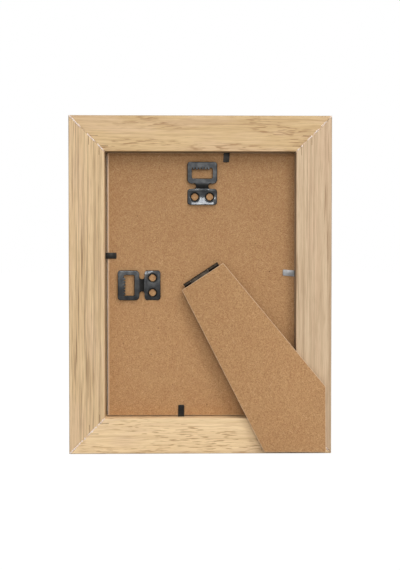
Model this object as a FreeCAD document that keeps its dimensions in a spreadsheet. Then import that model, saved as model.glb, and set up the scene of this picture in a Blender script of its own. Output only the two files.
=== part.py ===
"""Easel back photo frame: a mitred wood frame for a 5 x 7 inch photo, seen from its back.

The row frame: X runs across the frame, Y from the back to the glass, Z up. The origin is the middle
of the flat bottom edge. Lengths are in millimetres and angles in degrees.
"""

import FreeCAD, Part

import math
import os

import Sketcher

SIZES = {
    # The photo that the frame is made for, and how loosely its rebate holds what goes in.
    "photo_width": 127.0,
    "photo_height": 178.0,
    "photo_thickness": 0.25,
    "rebate_play_across": 2.1,
    "rebate_play_up": 1.9,
    # The moulding: its width from the outer edge to the rebate, the lip that holds the glass, its depth.
    "rebate_offset": 24.0,
    "lip_reach": 5.0,
    "lip_thickness": 4.5,
    "moulding_depth": 18.0,
    "outer_edge_round": 0.8,
    "front_edge_round": 1.2,
    "rebate_edge_round": 0.4,
    # The V-shaped corner nails, two at each mitre.
    "nail_inner_inset": 20.5,
    "nail_outer_inset": 13.6,
    "nail_leg": 6.2,
    "nail_thickness": 0.5,
    "nail_height": 7.0,
    "nail_sink": 0.3,
    # The glass, and how much smaller it is than the rebate.
    "glass_play_across": 1.3,
    "glass_play_up": 1.3,
    "glass_thickness": 2.0,
    # The backboard, which has slipped to one side in the rebate.
    "board_play_across": 1.7,
    "board_play_up": 1.2,
    "board_thickness": 3.0,
    "board_slip_across": 0.7,
    "board_slip_up": 0.3,
    # The hanger: a stamped plate, a joggled neck and a toothed ring. Its origin is between its two holes.
    "hanger_width": 20.3,
    "hanger_steel": 0.9,
    "hanger_plate_height": 10.8,
    "hanger_corner_round": 2.0,
    "hanger_edge_chamfer": 0.25,
    "neck_width": 8.6,
    "neck_length": 3.5,
    "neck_root": 1.2,
    "neck_slope_run": 1.6,
    "neck_notch_bite": 0.12,
    "ring_raise": 1.3,
    "ring_height": 14.7,
    "ring_top_round": 1.8,
    "ring_low_round": 2.8,
    "window_width": 14.1,
    "window_height": 6.9,
    "window_above_neck": 3.5,
    "window_corner_round": 0.8,
    "tooth_pitch": 2.0,
    "tooth_depth": 0.9,
    "saw_offset": -0.7,
    "hole_spacing": 10.1,
    "hole_flat": 4.35,
    "hole_corner_round": 1.2,
    "collar_wall": 0.5,
    "collar_depth": 1.9,
    "collar_roll": 0.7,
    "prong_notch_depth": 1.2,
    "prong_notch_half_width": 1.3,
    "top_hanger_across": 1.3,
    "top_hanger_drop": 30.1,
    "side_hanger_inset": 32.05,
    "side_hanger_rise": -0.25,
    # The strut's hinge.
    "hinge_across": 0.65,
    "hinge_rise": 6.85,
    "hinge_tilt": 33.3,
    "barrel_length": 27.4,
    "barrel_radius": 1.4,
    "hinge_steel": 0.5,
    "pin_play": 0.05,
    "pin_head_inset": 0.1,
    "knuckle_gap": 0.2,
    "knuckle_side_gap": 0.25,
    "leaf_depth": 11.0,
    "leaf_corner_round": 1.5,
    "leaf_drop": 0.3,
    "leaf_prong_width": 2.4,
    "leaf_prong_length": 2.3,
    "leaf_prong_spread": 17.0,
    "leaf_prong_row_gap": 5.5,
    "curl_slit": 0.35,
    # The strut.
    "strut_thickness": 3.0,
    "strut_top_width": 33.3,
    "strut_taper": 6.2,
    "strut_top_gap": 0.25,
    "strut_foot_lift": 1.7,
    "strut_side_inset": 4.5,
    "strut_corner_round": 0.6,
    "strut_rest_gap": 0.2,
    # The bendable tabs: soft steel strips driven into the rebate's wall.
    "tab_width": 4.1,
    "tab_steel": 0.5,
    "tab_strip_length": 16.0,
    "tab_point": 1.6,
    "tab_corner_round": 0.7,
    "tab_wall_gap": 0.1,
    "tab_board_gap": 0.05,
    "tab_top_reach": 6.6,
    "tab_top_across": 18.0,
    "tab_top_lean": 0.5,
    "tab_left_reach": 7.6,
    "tab_left_rise": 19.85,
    "tab_left_lean": 0.0,
    "tab_bottom_reach": 8.0,
    "tab_bottom_across": -13.1,
    "tab_bottom_lean": 0.1,
    "tab_right_reach": 8.3,
    "tab_right_rise": 7.75,
    "tab_right_lean": 0.7,
    # How far a cutting shape runs past what it cuts.
    "overrun": 2.0,
}

# Where the barrel's joints lie along its length, from its lower end.
KNUCKLE_JOINT_SHARES = (0.19, 0.70)
TOOTH_COUNT = 6
RIGHT_ANGLE = 90.0

doc = FreeCAD.newDocument("easel_back_photo_frame")
sheet = doc.addObject("Spreadsheet::Sheet", "sizes")
for row, (alias, number) in enumerate(SIZES.items(), start=1):
    sheet.set("A%d" % row, alias)
    sheet.set("B%d" % row, str(number))
    sheet.setAlias("B%d" % row, alias)
doc.recompute()


class Size:
    """A size with its number and the expression on the sheet that gives it."""

    def __init__(self, value, text):
        self.value = value
        self.text = text

    def __add__(self, other):
        other = as_size(other)
        return Size(self.value + other.value, "(%s + %s)" % (self.text, other.text))

    def __sub__(self, other):
        other = as_size(other)
        return Size(self.value - other.value, "(%s - %s)" % (self.text, other.text))

    def __mul__(self, other):
        other = as_size(other)
        return Size(self.value * other.value, "(%s * %s)" % (self.text, other.text))

    def __truediv__(self, other):
        other = as_size(other)
        return Size(self.value / other.value, "(%s / %s)" % (self.text, other.text))

    def __neg__(self):
        return self * -1

    __radd__ = __add__
    __rmul__ = __mul__


def as_size(item):
    """Wraps a plain number, so that it can stand in an expression."""
    return item if isinstance(item, Size) else Size(float(item), "(%s)" % item)


def size(alias):
    """The named size from the sheet."""
    return Size(SIZES[alias], "sizes.%s" % alias)


def sine(angle):
    """The sine of an angle in degrees."""
    return Size(math.sin(math.radians(angle.value)), "sin(%s * 1 deg)" % angle.text)


def cosine(angle):
    """The cosine of an angle in degrees."""
    return Size(math.cos(math.radians(angle.value)), "cos(%s * 1 deg)" % angle.text)


def tangent(angle):
    """The tangent of an angle in degrees."""
    return Size(math.tan(math.radians(angle.value)), "tan(%s * 1 deg)" % angle.text)


def bind(item, **sizes):
    """Ties properties of a feature to the sheet."""
    for name, value in sizes.items():
        item.setExpression(name, as_size(value).text)


def plane(body, role):
    """One of a body's own origin planes."""
    return next(f for f in body.Origin.OriginFeatures if f.Role == role)


def new_body(name, placement):
    """A body with its place, which may hold several separate solids."""
    body = doc.addObject("PartDesign::Body", name)
    body.Label = name
    body.AllowCompound = True
    body.Placement = placement
    return body


def new_sketch(body, role, name, lift=None):
    """A sketch on one of the body's origin planes, lifted along the plane's normal if asked."""
    sketch = body.newObject("Sketcher::SketchObject", name)
    sketch.AttachmentSupport = [(plane(body, role), "")]
    sketch.MapMode = "FlatFace"
    if lift is not None:
        sketch.setExpression("AttachmentOffset.Base.z", lift.text)
        sketch.AttachmentOffset = FreeCAD.Placement(FreeCAD.Vector(0, 0, lift.value), FreeCAD.Rotation())
    return sketch


def pin_point(sketch, curve, end, x, y):
    """Ties one point of a curve to its place from the sketch's origin."""
    for kind, place in (("DistanceX", x), ("DistanceY", y)):
        place = as_size(place)
        index = sketch.addConstraint(Sketcher.Constraint(kind, -1, 1, curve, end, place.value))
        sketch.setExpression("Constraints[%d]" % index, place.text)


def outline(sketch, points):
    """Adds a closed outline of straight runs through the points, each a pair of sizes."""
    points = [(as_size(x), as_size(y)) for x, y in points]
    places = [FreeCAD.Vector(x.value, y.value, 0) for x, y in points]
    first = sketch.GeometryCount
    count = len(points)
    for i in range(count):
        sketch.addGeometry(Part.LineSegment(places[i], places[(i + 1) % count]), False)
    for i in range(count):
        follower = first + (i + 1) % count
        sketch.addConstraint(Sketcher.Constraint("Coincident", first + i, 2, follower, 1))
    for i, (x, y) in enumerate(points):
        pin_point(sketch, first + i, 1, x, y)


def rectangle(sketch, left, right, low, high):
    """Adds a rectangle between two pairs of sizes."""
    outline(sketch, [(left, low), (right, low), (right, high), (left, high)])


def diamond(sketch, x, flat):
    """Adds a square that stands on its corner, given by its middle and its width across the flats."""
    reach = flat / math.sqrt(2)
    points = diamond_corners(x, reach)
    outline(sketch, points)
    return points


def diamond_corners(x, reach):
    """The corners of a diamond whose middle is on the x axis."""
    return [(x + reach, 0), (x, reach), (x - reach, 0), (x, -reach)]


def circle(sketch, x, y, radius):
    """Adds a circle."""
    x, y = as_size(x), as_size(y)
    centre = FreeCAD.Vector(x.value, y.value, 0)
    curve = sketch.addGeometry(Part.Circle(centre, FreeCAD.Vector(0, 0, 1), radius.value), False)
    pin_point(sketch, curve, 3, x, y)
    index = sketch.addConstraint(Sketcher.Constraint("Radius", curve, radius.value))
    sketch.setExpression("Constraints[%d]" % index, radius.text)


def pad(body, sketch, length, middle=False, down=False):
    """Grows a solid from a sketch, along its normal, against it, or half to each side."""
    feature = body.newObject("PartDesign::Pad", sketch.Name + "_pad")
    feature.Profile = sketch
    feature.Midplane = middle
    feature.Reversed = down
    bind(feature, Length=length)
    doc.recompute()
    return feature


def pocket(body, sketch, length, middle=False, up=False):
    """Cuts a sketch's shape out of the body, and makes sure that it cut something."""
    before = body.Shape.Volume
    feature = body.newObject("PartDesign::Pocket", sketch.Name + "_pocket")
    feature.Profile = sketch
    feature.Midplane = middle
    feature.Reversed = up
    bind(feature, Length=length)
    doc.recompute()
    if not body.Shape.Volume < before:
        raise RuntimeError(sketch.Name + " cuts nothing")
    return feature


def dress_edges(body, kind, picks, **sizes):
    """Puts a fillet or a chamfer on the edges of the body's last feature that the test picks."""
    base = body.Tip
    names = ["Edge%d" % (i + 1) for i, edge in enumerate(base.Shape.Edges) if picks(edge)]
    feature = body.newObject("PartDesign::" + kind, "%s_%s" % (base.Name, kind.lower()))
    feature.Base = (base, names)
    bind(feature, **sizes)
    doc.recompute()


def fillet(body, radius, picks):
    """Rounds the edges that the test picks."""
    dress_edges(body, "Fillet", picks, Radius=radius)


def chamfer(body, width, picks):
    """Bevels the edges that the test picks."""
    dress_edges(body, "Chamfer", picks, Size=width)


def near(a, b):
    """Whether two lengths are the same but for rounding."""
    return abs(a - b) < 1e-6


def edge_ends(edge):
    """The two ends of an edge, or one point twice on a closed one."""
    points = [vertex.Point for vertex in edge.Vertexes]
    return points[0], points[-1]


def upright_at(corners):
    """A test for straight edges along z that stand at one of the given (x, y) corners."""
    places = [(as_size(x).value, as_size(y).value) for x, y in corners]

    def picks(edge):
        a, b = edge_ends(edge)
        if not (near(a.x, b.x) and near(a.y, b.y)) or near(a.z, b.z):
            return False
        return any(near(a.x, x) and near(a.y, y) for x, y in places)

    return picks


def along_x_at(y, z):
    """A test for straight edges along x at one place of the cross-section."""
    y, z = as_size(y).value, as_size(z).value

    def picks(edge):
        a, b = edge_ends(edge)
        return near(a.y, y) and near(b.y, y) and near(a.z, z) and near(b.z, z) and not near(a.x, b.x)

    return picks


def lies_at(edge, z):
    """Whether an edge lies flat at a height."""
    box = edge.BoundBox
    return near(box.ZMin, z.value) and near(box.ZMax, z.value)


def turned(axis, angle):
    """A turn about one axis through the origin."""
    return FreeCAD.Placement(FreeCAD.Vector(0, 0, 0), FreeCAD.Rotation(FreeCAD.Vector(*axis), angle))


def moved(x, y, z):
    """A move by sizes or zeros."""
    return FreeCAD.Placement(FreeCAD.Vector(*(as_size(v).value for v in (x, y, z))), FreeCAD.Rotation())


def cut_out(name, base, tools):
    """The base with the shapes of its neighbours cut out of it, so that they seat exactly."""
    tool = tools[0]
    if len(tools) > 1:
        tool = doc.addObject("Part::Compound", name + "_tools")
        tool.Links = tools
    result = doc.addObject("Part::Cut", name)
    result.Base = base
    result.Tool = tool
    doc.recompute()
    if not result.Shape.Volume < base.Shape.Volume:
        raise RuntimeError(name + " lost nothing to its neighbours")
    return result


# Sizes that the pieces share, worked out from the driving ones.
rebate_width = size("photo_width") + size("rebate_play_across")
rebate_height = size("photo_height") + size("rebate_play_up")
frame_width = rebate_width + size("rebate_offset") * 2
frame_height = rebate_height + size("rebate_offset") * 2
middle_height = frame_height / 2
half_depth = size("moulding_depth") / 2
back_y = -half_depth
lip_y = half_depth - size("lip_thickness")
glass_y = lip_y - size("glass_thickness")
photo_y = glass_y - size("photo_thickness")
board_y = photo_y - size("board_thickness")
recess = board_y - back_y
overrun = size("overrun")

# Looking at the frame's back: local x is X, local y is Z and local z comes towards the viewer.
facing_back = turned((1, 0, 0), RIGHT_ANGLE)
on_back = moved(0, back_y, 0) * facing_back
on_board = moved(0, board_y, 0) * facing_back

nodes = {}


def add_node(name, item):
    """Lists a finished piece under its node's name."""
    item.Label = name
    nodes[name] = item


def make_corner_nails(name, side, end, top, height):
    """The two V-nails of one mitre, or their slots, below a level. Side and end are signs."""
    body = new_body(name, on_back)
    sketch = new_sketch(body, "XY_Plane", name + "_outline", lift=top)
    half = size("nail_thickness") / 2
    leg = size("nail_leg")
    for inset in (size("nail_inner_inset"), size("nail_outer_inset")):
        x = (frame_width / 2 - inset) * side
        z = middle_height + (middle_height - inset) * end
        steps = [(half, half), (-leg, half), (-leg, -half), (-half, -half), (-half, -leg), (half, -leg)]
        outline(sketch, [(x + dx * side, z + dz * end) for dx, dz in steps])
    pad(body, sketch, height, down=True)
    return body


def make_rail(name, length, angle, edge_middle):
    """One mitred rail: x along it, y in from its outer edge, z from the face to the back."""
    body = new_body(name + "_blank", edge_middle * turned((0, 1, 0), angle) * facing_back)
    profile = new_sketch(body, "YZ_Plane", name + "_profile")
    sight = size("rebate_offset") + size("lip_reach")
    depth = size("moulding_depth")
    wall = size("rebate_offset")
    lip = size("lip_thickness")
    outline(profile, [(0, 0), (sight, 0), (sight, lip), (wall, lip), (wall, depth), (0, depth)])
    pad(body, profile, length, middle=True)
    fillet(body, size("front_edge_round"), along_x_at(0, 0))
    fillet(body, size("front_edge_round"), along_x_at(sight, 0))
    fillet(body, size("outer_edge_round"), along_x_at(0, depth))
    fillet(body, size("rebate_edge_round"), along_x_at(wall, depth))
    mitre = new_sketch(body, "XY_Plane", name + "_mitre")
    far = sight + overrun
    for side in (-1, 1):
        end = length / 2 * side
        beyond = (length / 2 + overrun) * side
        corner = (end - far * side, far)
        outline(mitre, [(end + overrun * side, -overrun), corner, (beyond, far)])
    pocket(body, mitre, depth * 2 + overrun, middle=True)
    return body


def make_hanger(name, placement):
    """A stamped hanger: a plate pronged into the board, a joggled neck and a raised ring with teeth."""
    steel = size("hanger_steel")
    half = size("hanger_width") / 2
    low = -size("hanger_plate_height") / 2
    high = size("hanger_plate_height") / 2
    ring_low = high + size("neck_length")
    ring_high = ring_low + size("ring_height")
    raised = size("ring_raise")
    body = new_body(name, placement)

    plate = new_sketch(body, "XY_Plane", name + "_plate")
    rectangle(plate, -half, half, low, high)
    pad(body, plate, steel)
    plate_corners = [(x, y) for x in (-half, half) for y in (low, high)]
    fillet(body, size("hanger_corner_round"), upright_at(plate_corners))
    chamfer(body, size("hanger_edge_chamfer"), lambda edge: lies_at(edge, steel))

    ring = new_sketch(body, "XY_Plane", name + "_ring", lift=raised)
    rectangle(ring, -half, half, ring_low, ring_high)

    neck = new_sketch(body, "YZ_Plane", name + "_neck")
    root = high - size("neck_root")
    top = ring_low + size("neck_root")
    start = high + (size("neck_length") - size("neck_slope_run")) / 2
    finish = start + size("neck_slope_run")
    bend = steel / 2
    lower_run = [(root, 0), (start, 0), (finish, raised), (top, raised)]
    upper_run = [(top, raised + steel), (finish - bend, raised + steel), (start - bend, steel), (root, steel)]
    outline(neck, lower_run + upper_run)
    flared_width = size("neck_width") + size("neck_length")
    pad(body, neck, flared_width, middle=True)
    pad(body, ring, steel)
    fillet(body, size("ring_top_round"), upright_at([(-half, ring_high), (half, ring_high)]))
    fillet(body, size("ring_low_round"), upright_at([(-half, ring_low), (half, ring_low)]))

    def rings_upper_edge(edge):
        lowest = min(end.y for end in edge_ends(edge))
        return lies_at(edge, raised + steel) and lowest > (ring_low - bend).value and not crosses_neck(edge)

    def crosses_neck(edge):
        a, b = edge_ends(edge)
        return near(a.y, ring_low.value) and near(b.y, ring_low.value) and near(a.x, -b.x)

    chamfer(body, size("hanger_edge_chamfer"), rings_upper_edge)

    # The punched notches that leave the neck between them.
    notches = new_sketch(body, "XY_Plane", name + "_neck_notches", lift=-overrun)
    for side in (-1, 1):
        circle(notches, flared_width / 2 * side, (high + ring_low) / 2,
               size("neck_length") / 2 + size("neck_notch_bite"))
    pocket(body, notches, raised + steel + overrun * 2, up=True)

    window = new_sketch(body, "XY_Plane", name + "_window", lift=raised - overrun)
    inner = size("window_width") / 2
    sill = ring_low + size("window_above_neck")
    head = sill + size("window_height")
    saw_half = size("tooth_pitch") * TOOTH_COUNT / 2
    points = [(-inner, sill), (inner, sill), (inner, head)]
    for tooth in range(TOOTH_COUNT):
        right = size("saw_offset") + saw_half - size("tooth_pitch") * tooth
        points.append((right, head))
        points.append((right - size("tooth_pitch") / 2, head - size("tooth_depth")))
    points.append((size("saw_offset") - saw_half, head))
    points.append((-inner, head))
    outline(window, points)
    pocket(body, window, steel + overrun * 2, up=True)
    round_corners = [(-inner, sill), (inner, sill), (inner, head)]
    fillet(body, size("window_corner_round"), upright_at(round_corners))

    centres = [size("hole_spacing") / 2 * side for side in (-1, 1)]
    collars = new_sketch(body, "XY_Plane", name + "_collars")
    collar_flat = size("hole_flat") + size("collar_wall") * 2
    collar_corners = [corner for x in centres for corner in diamond(collars, x, collar_flat)]
    pad(body, collars, size("collar_depth"), down=True)
    holes = new_sketch(body, "XY_Plane", name + "_holes", lift=steel)
    hole_corners = [corner for x in centres for corner in diamond(holes, x, size("hole_flat"))]
    pocket(body, holes, steel + size("collar_depth") + overrun)
    fillet(body, size("hole_corner_round"), upright_at(hole_corners))
    fillet(body, size("hole_corner_round") + size("collar_wall"), upright_at(collar_corners))
    cut_prongs(body, name, centres)

    def hole_rim(edge):
        across = min(abs(edge.BoundBox.Center.x - x.value) for x in centres)
        return lies_at(edge, steel) and math.hypot(across, edge.BoundBox.Center.y) < size("hole_flat").value

    fillet(body, size("collar_roll"), hole_rim)
    return body


def cut_prongs(body, name, centres):
    """Notches the collars' ends, which leaves four prongs on each."""
    half = size("prong_notch_half_width")
    end = -size("collar_depth")
    tip = end + size("prong_notch_depth")
    reach = size("hole_flat") + size("collar_wall") + overrun

    def notch_points(middle):
        left = middle - half
        right = middle + half
        return [(left, end - overrun), (left, end), (middle, tip), (right, end), (right, end - overrun)]

    across = new_sketch(body, "XZ_Plane", name + "_notches_up")
    for x in centres:
        outline(across, notch_points(x))
    pocket(body, across, reach * 2, middle=True)
    along = new_sketch(body, "YZ_Plane", name + "_notches_across")
    outline(along, notch_points(as_size(0)))
    pocket(body, along, size("hanger_width") + overrun, middle=True)


def make_leaf(name, placement, knuckles, gaps, side):
    """A hinge leaf: a plate, curls round the pin, and prongs. Side is 1 for the strut's leaf and -1 for
    the board's."""
    steel = size("hinge_steel")
    barrel = size("barrel_radius")
    half = size("barrel_length") / 2
    depth = size("leaf_depth")
    drop = size("leaf_drop") if side < 0 else as_size(0)
    face = barrel + drop
    body = new_body(name, placement)

    # The plate, cut back where the other leaf's curls turn.
    plate = new_sketch(body, "XY_Plane", name + "_plate", lift=(face - steel) if side > 0 else -face)
    rectangle(plate, -half, half, -depth, 0)
    pad(body, plate, steel)
    notches = new_sketch(body, "XY_Plane", name + "_notches")
    for left, right in gaps:
        rectangle(notches, left, right, -(barrel + size("knuckle_side_gap")), overrun)
    pocket(body, notches, (face + overrun) * 2, middle=True)
    fillet(body, size("leaf_corner_round"), upright_at([(-half, -depth), (half, -depth)]))

    # The curls.
    for number, (left, right) in enumerate(knuckles):
        curl = new_sketch(body, "YZ_Plane", "%s_curl_%d" % (name, number), lift=left)
        circle(curl, 0, 0, barrel)
        pad(body, curl, right - left)
    bore = new_sketch(body, "YZ_Plane", name + "_bore")
    circle(bore, 0, 0, barrel - steel)
    pocket(body, bore, half * 2 + overrun, middle=True)
    slit = new_sketch(body, "YZ_Plane", name + "_slit")
    slit_far = (barrel - steel) * side
    slit_near = slit_far - size("curl_slit") * side
    low, high = (slit_near, slit_far) if side > 0 else (slit_far, slit_near)
    rectangle(slit, -barrel - overrun, -steel, low, high)
    pocket(body, slit, half * 2 + overrun, middle=True)

    # Two rows of prongs, pointing into the board that carries the leaf.
    far_row = -depth
    near_row = far_row + size("leaf_prong_row_gap")
    wide = size("leaf_prong_width") / 2
    root = (face - steel) * side
    shoulder = face * side
    tip = (face + size("leaf_prong_length")) * side
    for number, row in enumerate((far_row, near_row)):
        prongs = new_sketch(body, "XZ_Plane", "%s_prongs_%d" % (name, number), lift=-row - steel)
        for x in (-size("leaf_prong_spread") / 2, size("leaf_prong_spread") / 2):
            left = x - wide
            right = x + wide
            outline(prongs, [(left, root), (left, shoulder), (x, tip), (right, shoulder), (right, root)])
        pad(body, prongs, steel)
    return body


def make_strut(name, placement, corners):
    """The strut's board: a tapered leg with its foot cut level and its side cut upright."""
    body = new_body(name, placement)
    face = new_sketch(body, "XY_Plane", name + "_outline", lift=size("barrel_radius"))
    outline(face, corners)
    pad(body, face, size("strut_thickness"))
    fillet(body, size("strut_corner_round"), upright_at(corners))
    return body


def make_tab(name, wall, reach, lean):
    """A tab's free tongue, which bends at the rebate's wall. Local y points away from the wall."""
    steel = size("tab_steel")
    half = size("tab_width") / 2
    bend = size("tab_wall_gap") + steel / 2
    body = new_body(name, wall)
    tongue = new_sketch(body, "XY_Plane", name + "_tongue")
    outline(tongue, [(-half, bend), (half, bend), (half + lean, reach), (lean - half, reach)])
    pad(body, tongue, steel)
    fillet(body, size("tab_corner_round"), upright_at([(half + lean, reach), (lean - half, reach)]))
    root = new_sketch(body, "YZ_Plane", name + "_root")
    circle(root, bend, steel / 2, steel / 2)
    pad(body, root, half * 2, middle=True)
    return body


def make_blade(name, wall, reach):
    """The same strip's pointed end, driven into the rebate's wall."""
    half = size("tab_width") / 2
    buried = size("tab_strip_length") - reach
    body = new_body(name, wall)
    blade = new_sketch(body, "XY_Plane", name + "_outline")
    shoulder = size("tab_point") - buried
    outline(blade, [(-half, 0), (-half, shoulder), (0, -buried), (half, shoulder), (half, 0)])
    pad(body, blade, size("tab_steel"))
    return body


# The four tabs: the turn that points local y away from their wall, and their place on it.
tab_lift = moved(0, board_y - size("tab_board_gap"), 0) * facing_back
rebate_low = size("rebate_offset")
rebate_high = frame_height - size("rebate_offset")
rebate_side = rebate_width / 2
tab_places = {
    "bottom": (0, size("tab_bottom_across"), rebate_low),
    "right": (RIGHT_ANGLE, rebate_side, middle_height + size("tab_right_rise")),
    "top": (2 * RIGHT_ANGLE, size("tab_top_across"), rebate_high),
    "left": (-RIGHT_ANGLE, -rebate_side, middle_height + size("tab_left_rise")),
}
blades = {}
for place, (angle, across, height) in tab_places.items():
    wall = tab_lift * moved(across, height, 0) * turned((0, 0, 1), angle)
    reach = size("tab_%s_reach" % place)
    tongue_name = "tab_%s_tongue" % place
    blade_name = "tab_%s_blade" % place
    add_node(tongue_name, make_tab(tongue_name, wall, reach, size("tab_%s_lean" % place)))
    blades[place] = make_blade(blade_name, wall, reach)
    add_node(blade_name, blades[place])

# The corner nails, driven in a little below the wood, then the rails with their slots.
sink = size("nail_sink")
slots = {}
for end, end_name in ((1, "top"), (-1, "bottom")):
    for side, side_name in ((-1, "left"), (1, "right")):
        name = "corner_nails_%s_%s" % (end_name, side_name)
        add_node(name, make_corner_nails(name, side, end, -sink, size("nail_height")))
        slots[end_name, side_name] = make_corner_nails(
            name + "_slots", side, end, as_size(0), sink + size("nail_height"))

rail_places = {
    "bottom": (frame_width, 0, moved(0, half_depth, 0)),
    "left": (frame_height, RIGHT_ANGLE, moved(-frame_width / 2, half_depth, middle_height)),
    "top": (frame_width, 2 * RIGHT_ANGLE, moved(0, half_depth, frame_height)),
    "right": (frame_height, -RIGHT_ANGLE, moved(frame_width / 2, half_depth, middle_height)),
}
for place, (length, angle, edge_middle) in rail_places.items():
    name = "moulding_" + place
    blank = make_rail(name, length, angle, edge_middle)
    held = [slots[ends] for ends in slots if place in ends] + [blades[place]]
    add_node(name, cut_out(name, blank, held))

# The hangers, the upper one for upright photos and the side one for wide photos.
top_place = on_board * moved(size("top_hanger_across"), rebate_high - size("top_hanger_drop"), 0)
side_across = size("side_hanger_inset") - rebate_side
side_place = on_board * moved(side_across, middle_height + size("side_hanger_rise"), 0)
top_hanger = make_hanger("top_hanger", top_place)
side_hanger = make_hanger("side_hanger", side_place * turned((0, 0, 1), RIGHT_ANGLE))
add_node("top_hanger", top_hanger)
add_node("side_hanger", side_hanger)

# The hinge's frame: x along the barrel, y up the board and z towards the viewer, from the pin's middle.
barrel_rise = size("barrel_radius") + size("leaf_drop")
hinge_height = middle_height + size("hinge_rise")
hinge_place = on_board * moved(size("hinge_across"), hinge_height, barrel_rise)
hinge_place = hinge_place * turned((0, 0, 1), SIZES["hinge_tilt"])

# The strut's outline, with x along the hinge and y up the strut from the pin.
tilt = size("hinge_tilt")
taper = tangent(size("strut_taper"))
top_half = size("strut_top_width") / 2
foot_drop = hinge_height - size("strut_foot_lift")
side_run = frame_width / 2 - size("strut_side_inset") - size("hinge_across")
foot_left = (foot_drop - sine(tilt) * top_half) / (cosine(tilt) + sine(tilt) * taper)
side_top = (side_run - cosine(tilt) * top_half) / (sine(tilt) + cosine(tilt) * taper)
foot_across = side_run * cosine(tilt) - foot_drop * sine(tilt)
foot_down = side_run * sine(tilt) + foot_drop * cosine(tilt)
strut_top = -(size("barrel_radius") + size("strut_top_gap"))
strut_corners = [
    (-top_half, strut_top),
    (-(top_half + taper * foot_left), -foot_left),
    (foot_across, -foot_down),
    (top_half + taper * side_top, -side_top),
    (top_half, strut_top),
]

# The closed strut leans out just enough to lie on the edge of the rebate.
edge_run = rebate_side - size("hinge_across") - cosine(tilt) * top_half
edge_drop = edge_run / (sine(tilt) + cosine(tilt) * taper)
climb = recess + size("strut_rest_gap") - barrel_rise - size("barrel_radius")
closed_angle = math.degrees(math.atan2(climb.value, edge_drop.value))
strut_place = hinge_place * turned((1, 0, 0), -closed_angle)

barrel_half = size("barrel_length") / 2
joints = [size("barrel_length") * share - barrel_half for share in KNUCKLE_JOINT_SHARES]
half_gap = size("knuckle_gap") / 2
board_knuckles = [(-barrel_half, joints[0] - half_gap), (joints[1] + half_gap, barrel_half)]
strut_knuckles = [(joints[0] + half_gap, joints[1] - half_gap)]
board_gaps = [(joints[0] - half_gap, joints[1] + half_gap)]
strut_gaps = [(-barrel_half, joints[0] + half_gap), (joints[1] - half_gap, barrel_half)]
fixed_leaf = make_leaf("hinge_fixed_leaf", hinge_place, board_knuckles, board_gaps, -1)
moving_leaf = make_leaf("hinge_moving_leaf", strut_place, strut_knuckles, strut_gaps, 1)
add_node("hinge_fixed_leaf", fixed_leaf)
add_node("hinge_moving_leaf", moving_leaf)

pin = doc.addObject("Part::Cylinder", "hinge_pin")
bind(pin, Radius=size("barrel_radius") - size("hinge_steel") - size("pin_play"))
bind(pin, Height=size("barrel_length") - size("pin_head_inset") * 2)
pin_start = moved(size("pin_head_inset") - barrel_half, 0, 0)
pin.Placement = hinge_place * pin_start * turned((0, 1, 0), RIGHT_ANGLE)
add_node("hinge_pin", pin)

add_node("strut", cut_out("strut", make_strut("strut_blank", strut_place, strut_corners), [moving_leaf]))


def make_sheet(name, width, height, thickness, across, height_middle, face_y):
    """A flat sheet in the rebate, given by its middle and by its face towards the viewer."""
    box = doc.addObject("Part::Box", name)
    bind(box, Length=width, Width=thickness, Height=height)
    places = {"x": across - width / 2, "y": face_y, "z": height_middle - height / 2}
    for letter, place in places.items():
        box.setExpression("Placement.Base." + letter, place.text)
    doc.recompute()
    return box


glass_width = rebate_width - size("glass_play_across")
glass_height = rebate_height - size("glass_play_up")
board_width = rebate_width - size("board_play_across")
board_height = rebate_height - size("board_play_up")
glass_sizes = (glass_width, glass_height, size("glass_thickness"))
photo_sizes = (size("photo_width"), size("photo_height"), size("photo_thickness"))
board_sizes = (board_width, board_height, size("board_thickness"))
board_middle = (size("board_slip_across"), middle_height + size("board_slip_up"))
add_node("front_glass", make_sheet("front_glass", *glass_sizes, as_size(0), middle_height, glass_y))
add_node("photo_insert", make_sheet("photo_insert", *photo_sizes, as_size(0), middle_height, photo_y))
board_blank = make_sheet("backboard_blank", *board_sizes, *board_middle, board_y)
add_node("backboard", cut_out("backboard", board_blank, [fixed_leaf, top_hanger, side_hanger]))

doc.recompute()
for item in doc.Objects:
    if "Invalid" in item.State or "Error" in item.State:
        raise RuntimeError("%s failed: %s" % (item.Name, item.State))
for name, item in nodes.items():
    if item.Shape.isNull() or not item.Shape.isValid():
        raise RuntimeError(name + " has no valid shape")

os.makedirs("parts", exist_ok=True)
for name, item in nodes.items():
    item.Shape.exportStep("parts/%s.step" % name)
    box = item.Shape.BoundBox
    print("%-26s solids %d  volume %9.2f  size %.1f x %.1f x %.1f" % (
        name, len(item.Shape.Solids), item.Shape.Volume, box.XLength, box.YLength, box.ZLength))
print("frame %.1f x %.1f, recess %.2f, strut closed at %.2f degrees" % (
    frame_width.value, frame_height.value, recess.value, closed_angle))
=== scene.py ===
"""Easel back photo frame: its finishes, fine shapes and studio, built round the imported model.

Everything stands in the model's own frame, in metres: X across the frame, Y from its back to its
glass, Z up from the edge that it stands on. A value whose name ends in ``_mm`` is in millimetres and
is turned into metres by ``mm`` or ``MM``.
"""

import logging
import math
from dataclasses import dataclass
from enum import Enum
from typing import Callable, Iterable, Mapping, Sequence, Union

import bmesh
import bpy
from mathutils import Matrix, Vector

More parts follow.
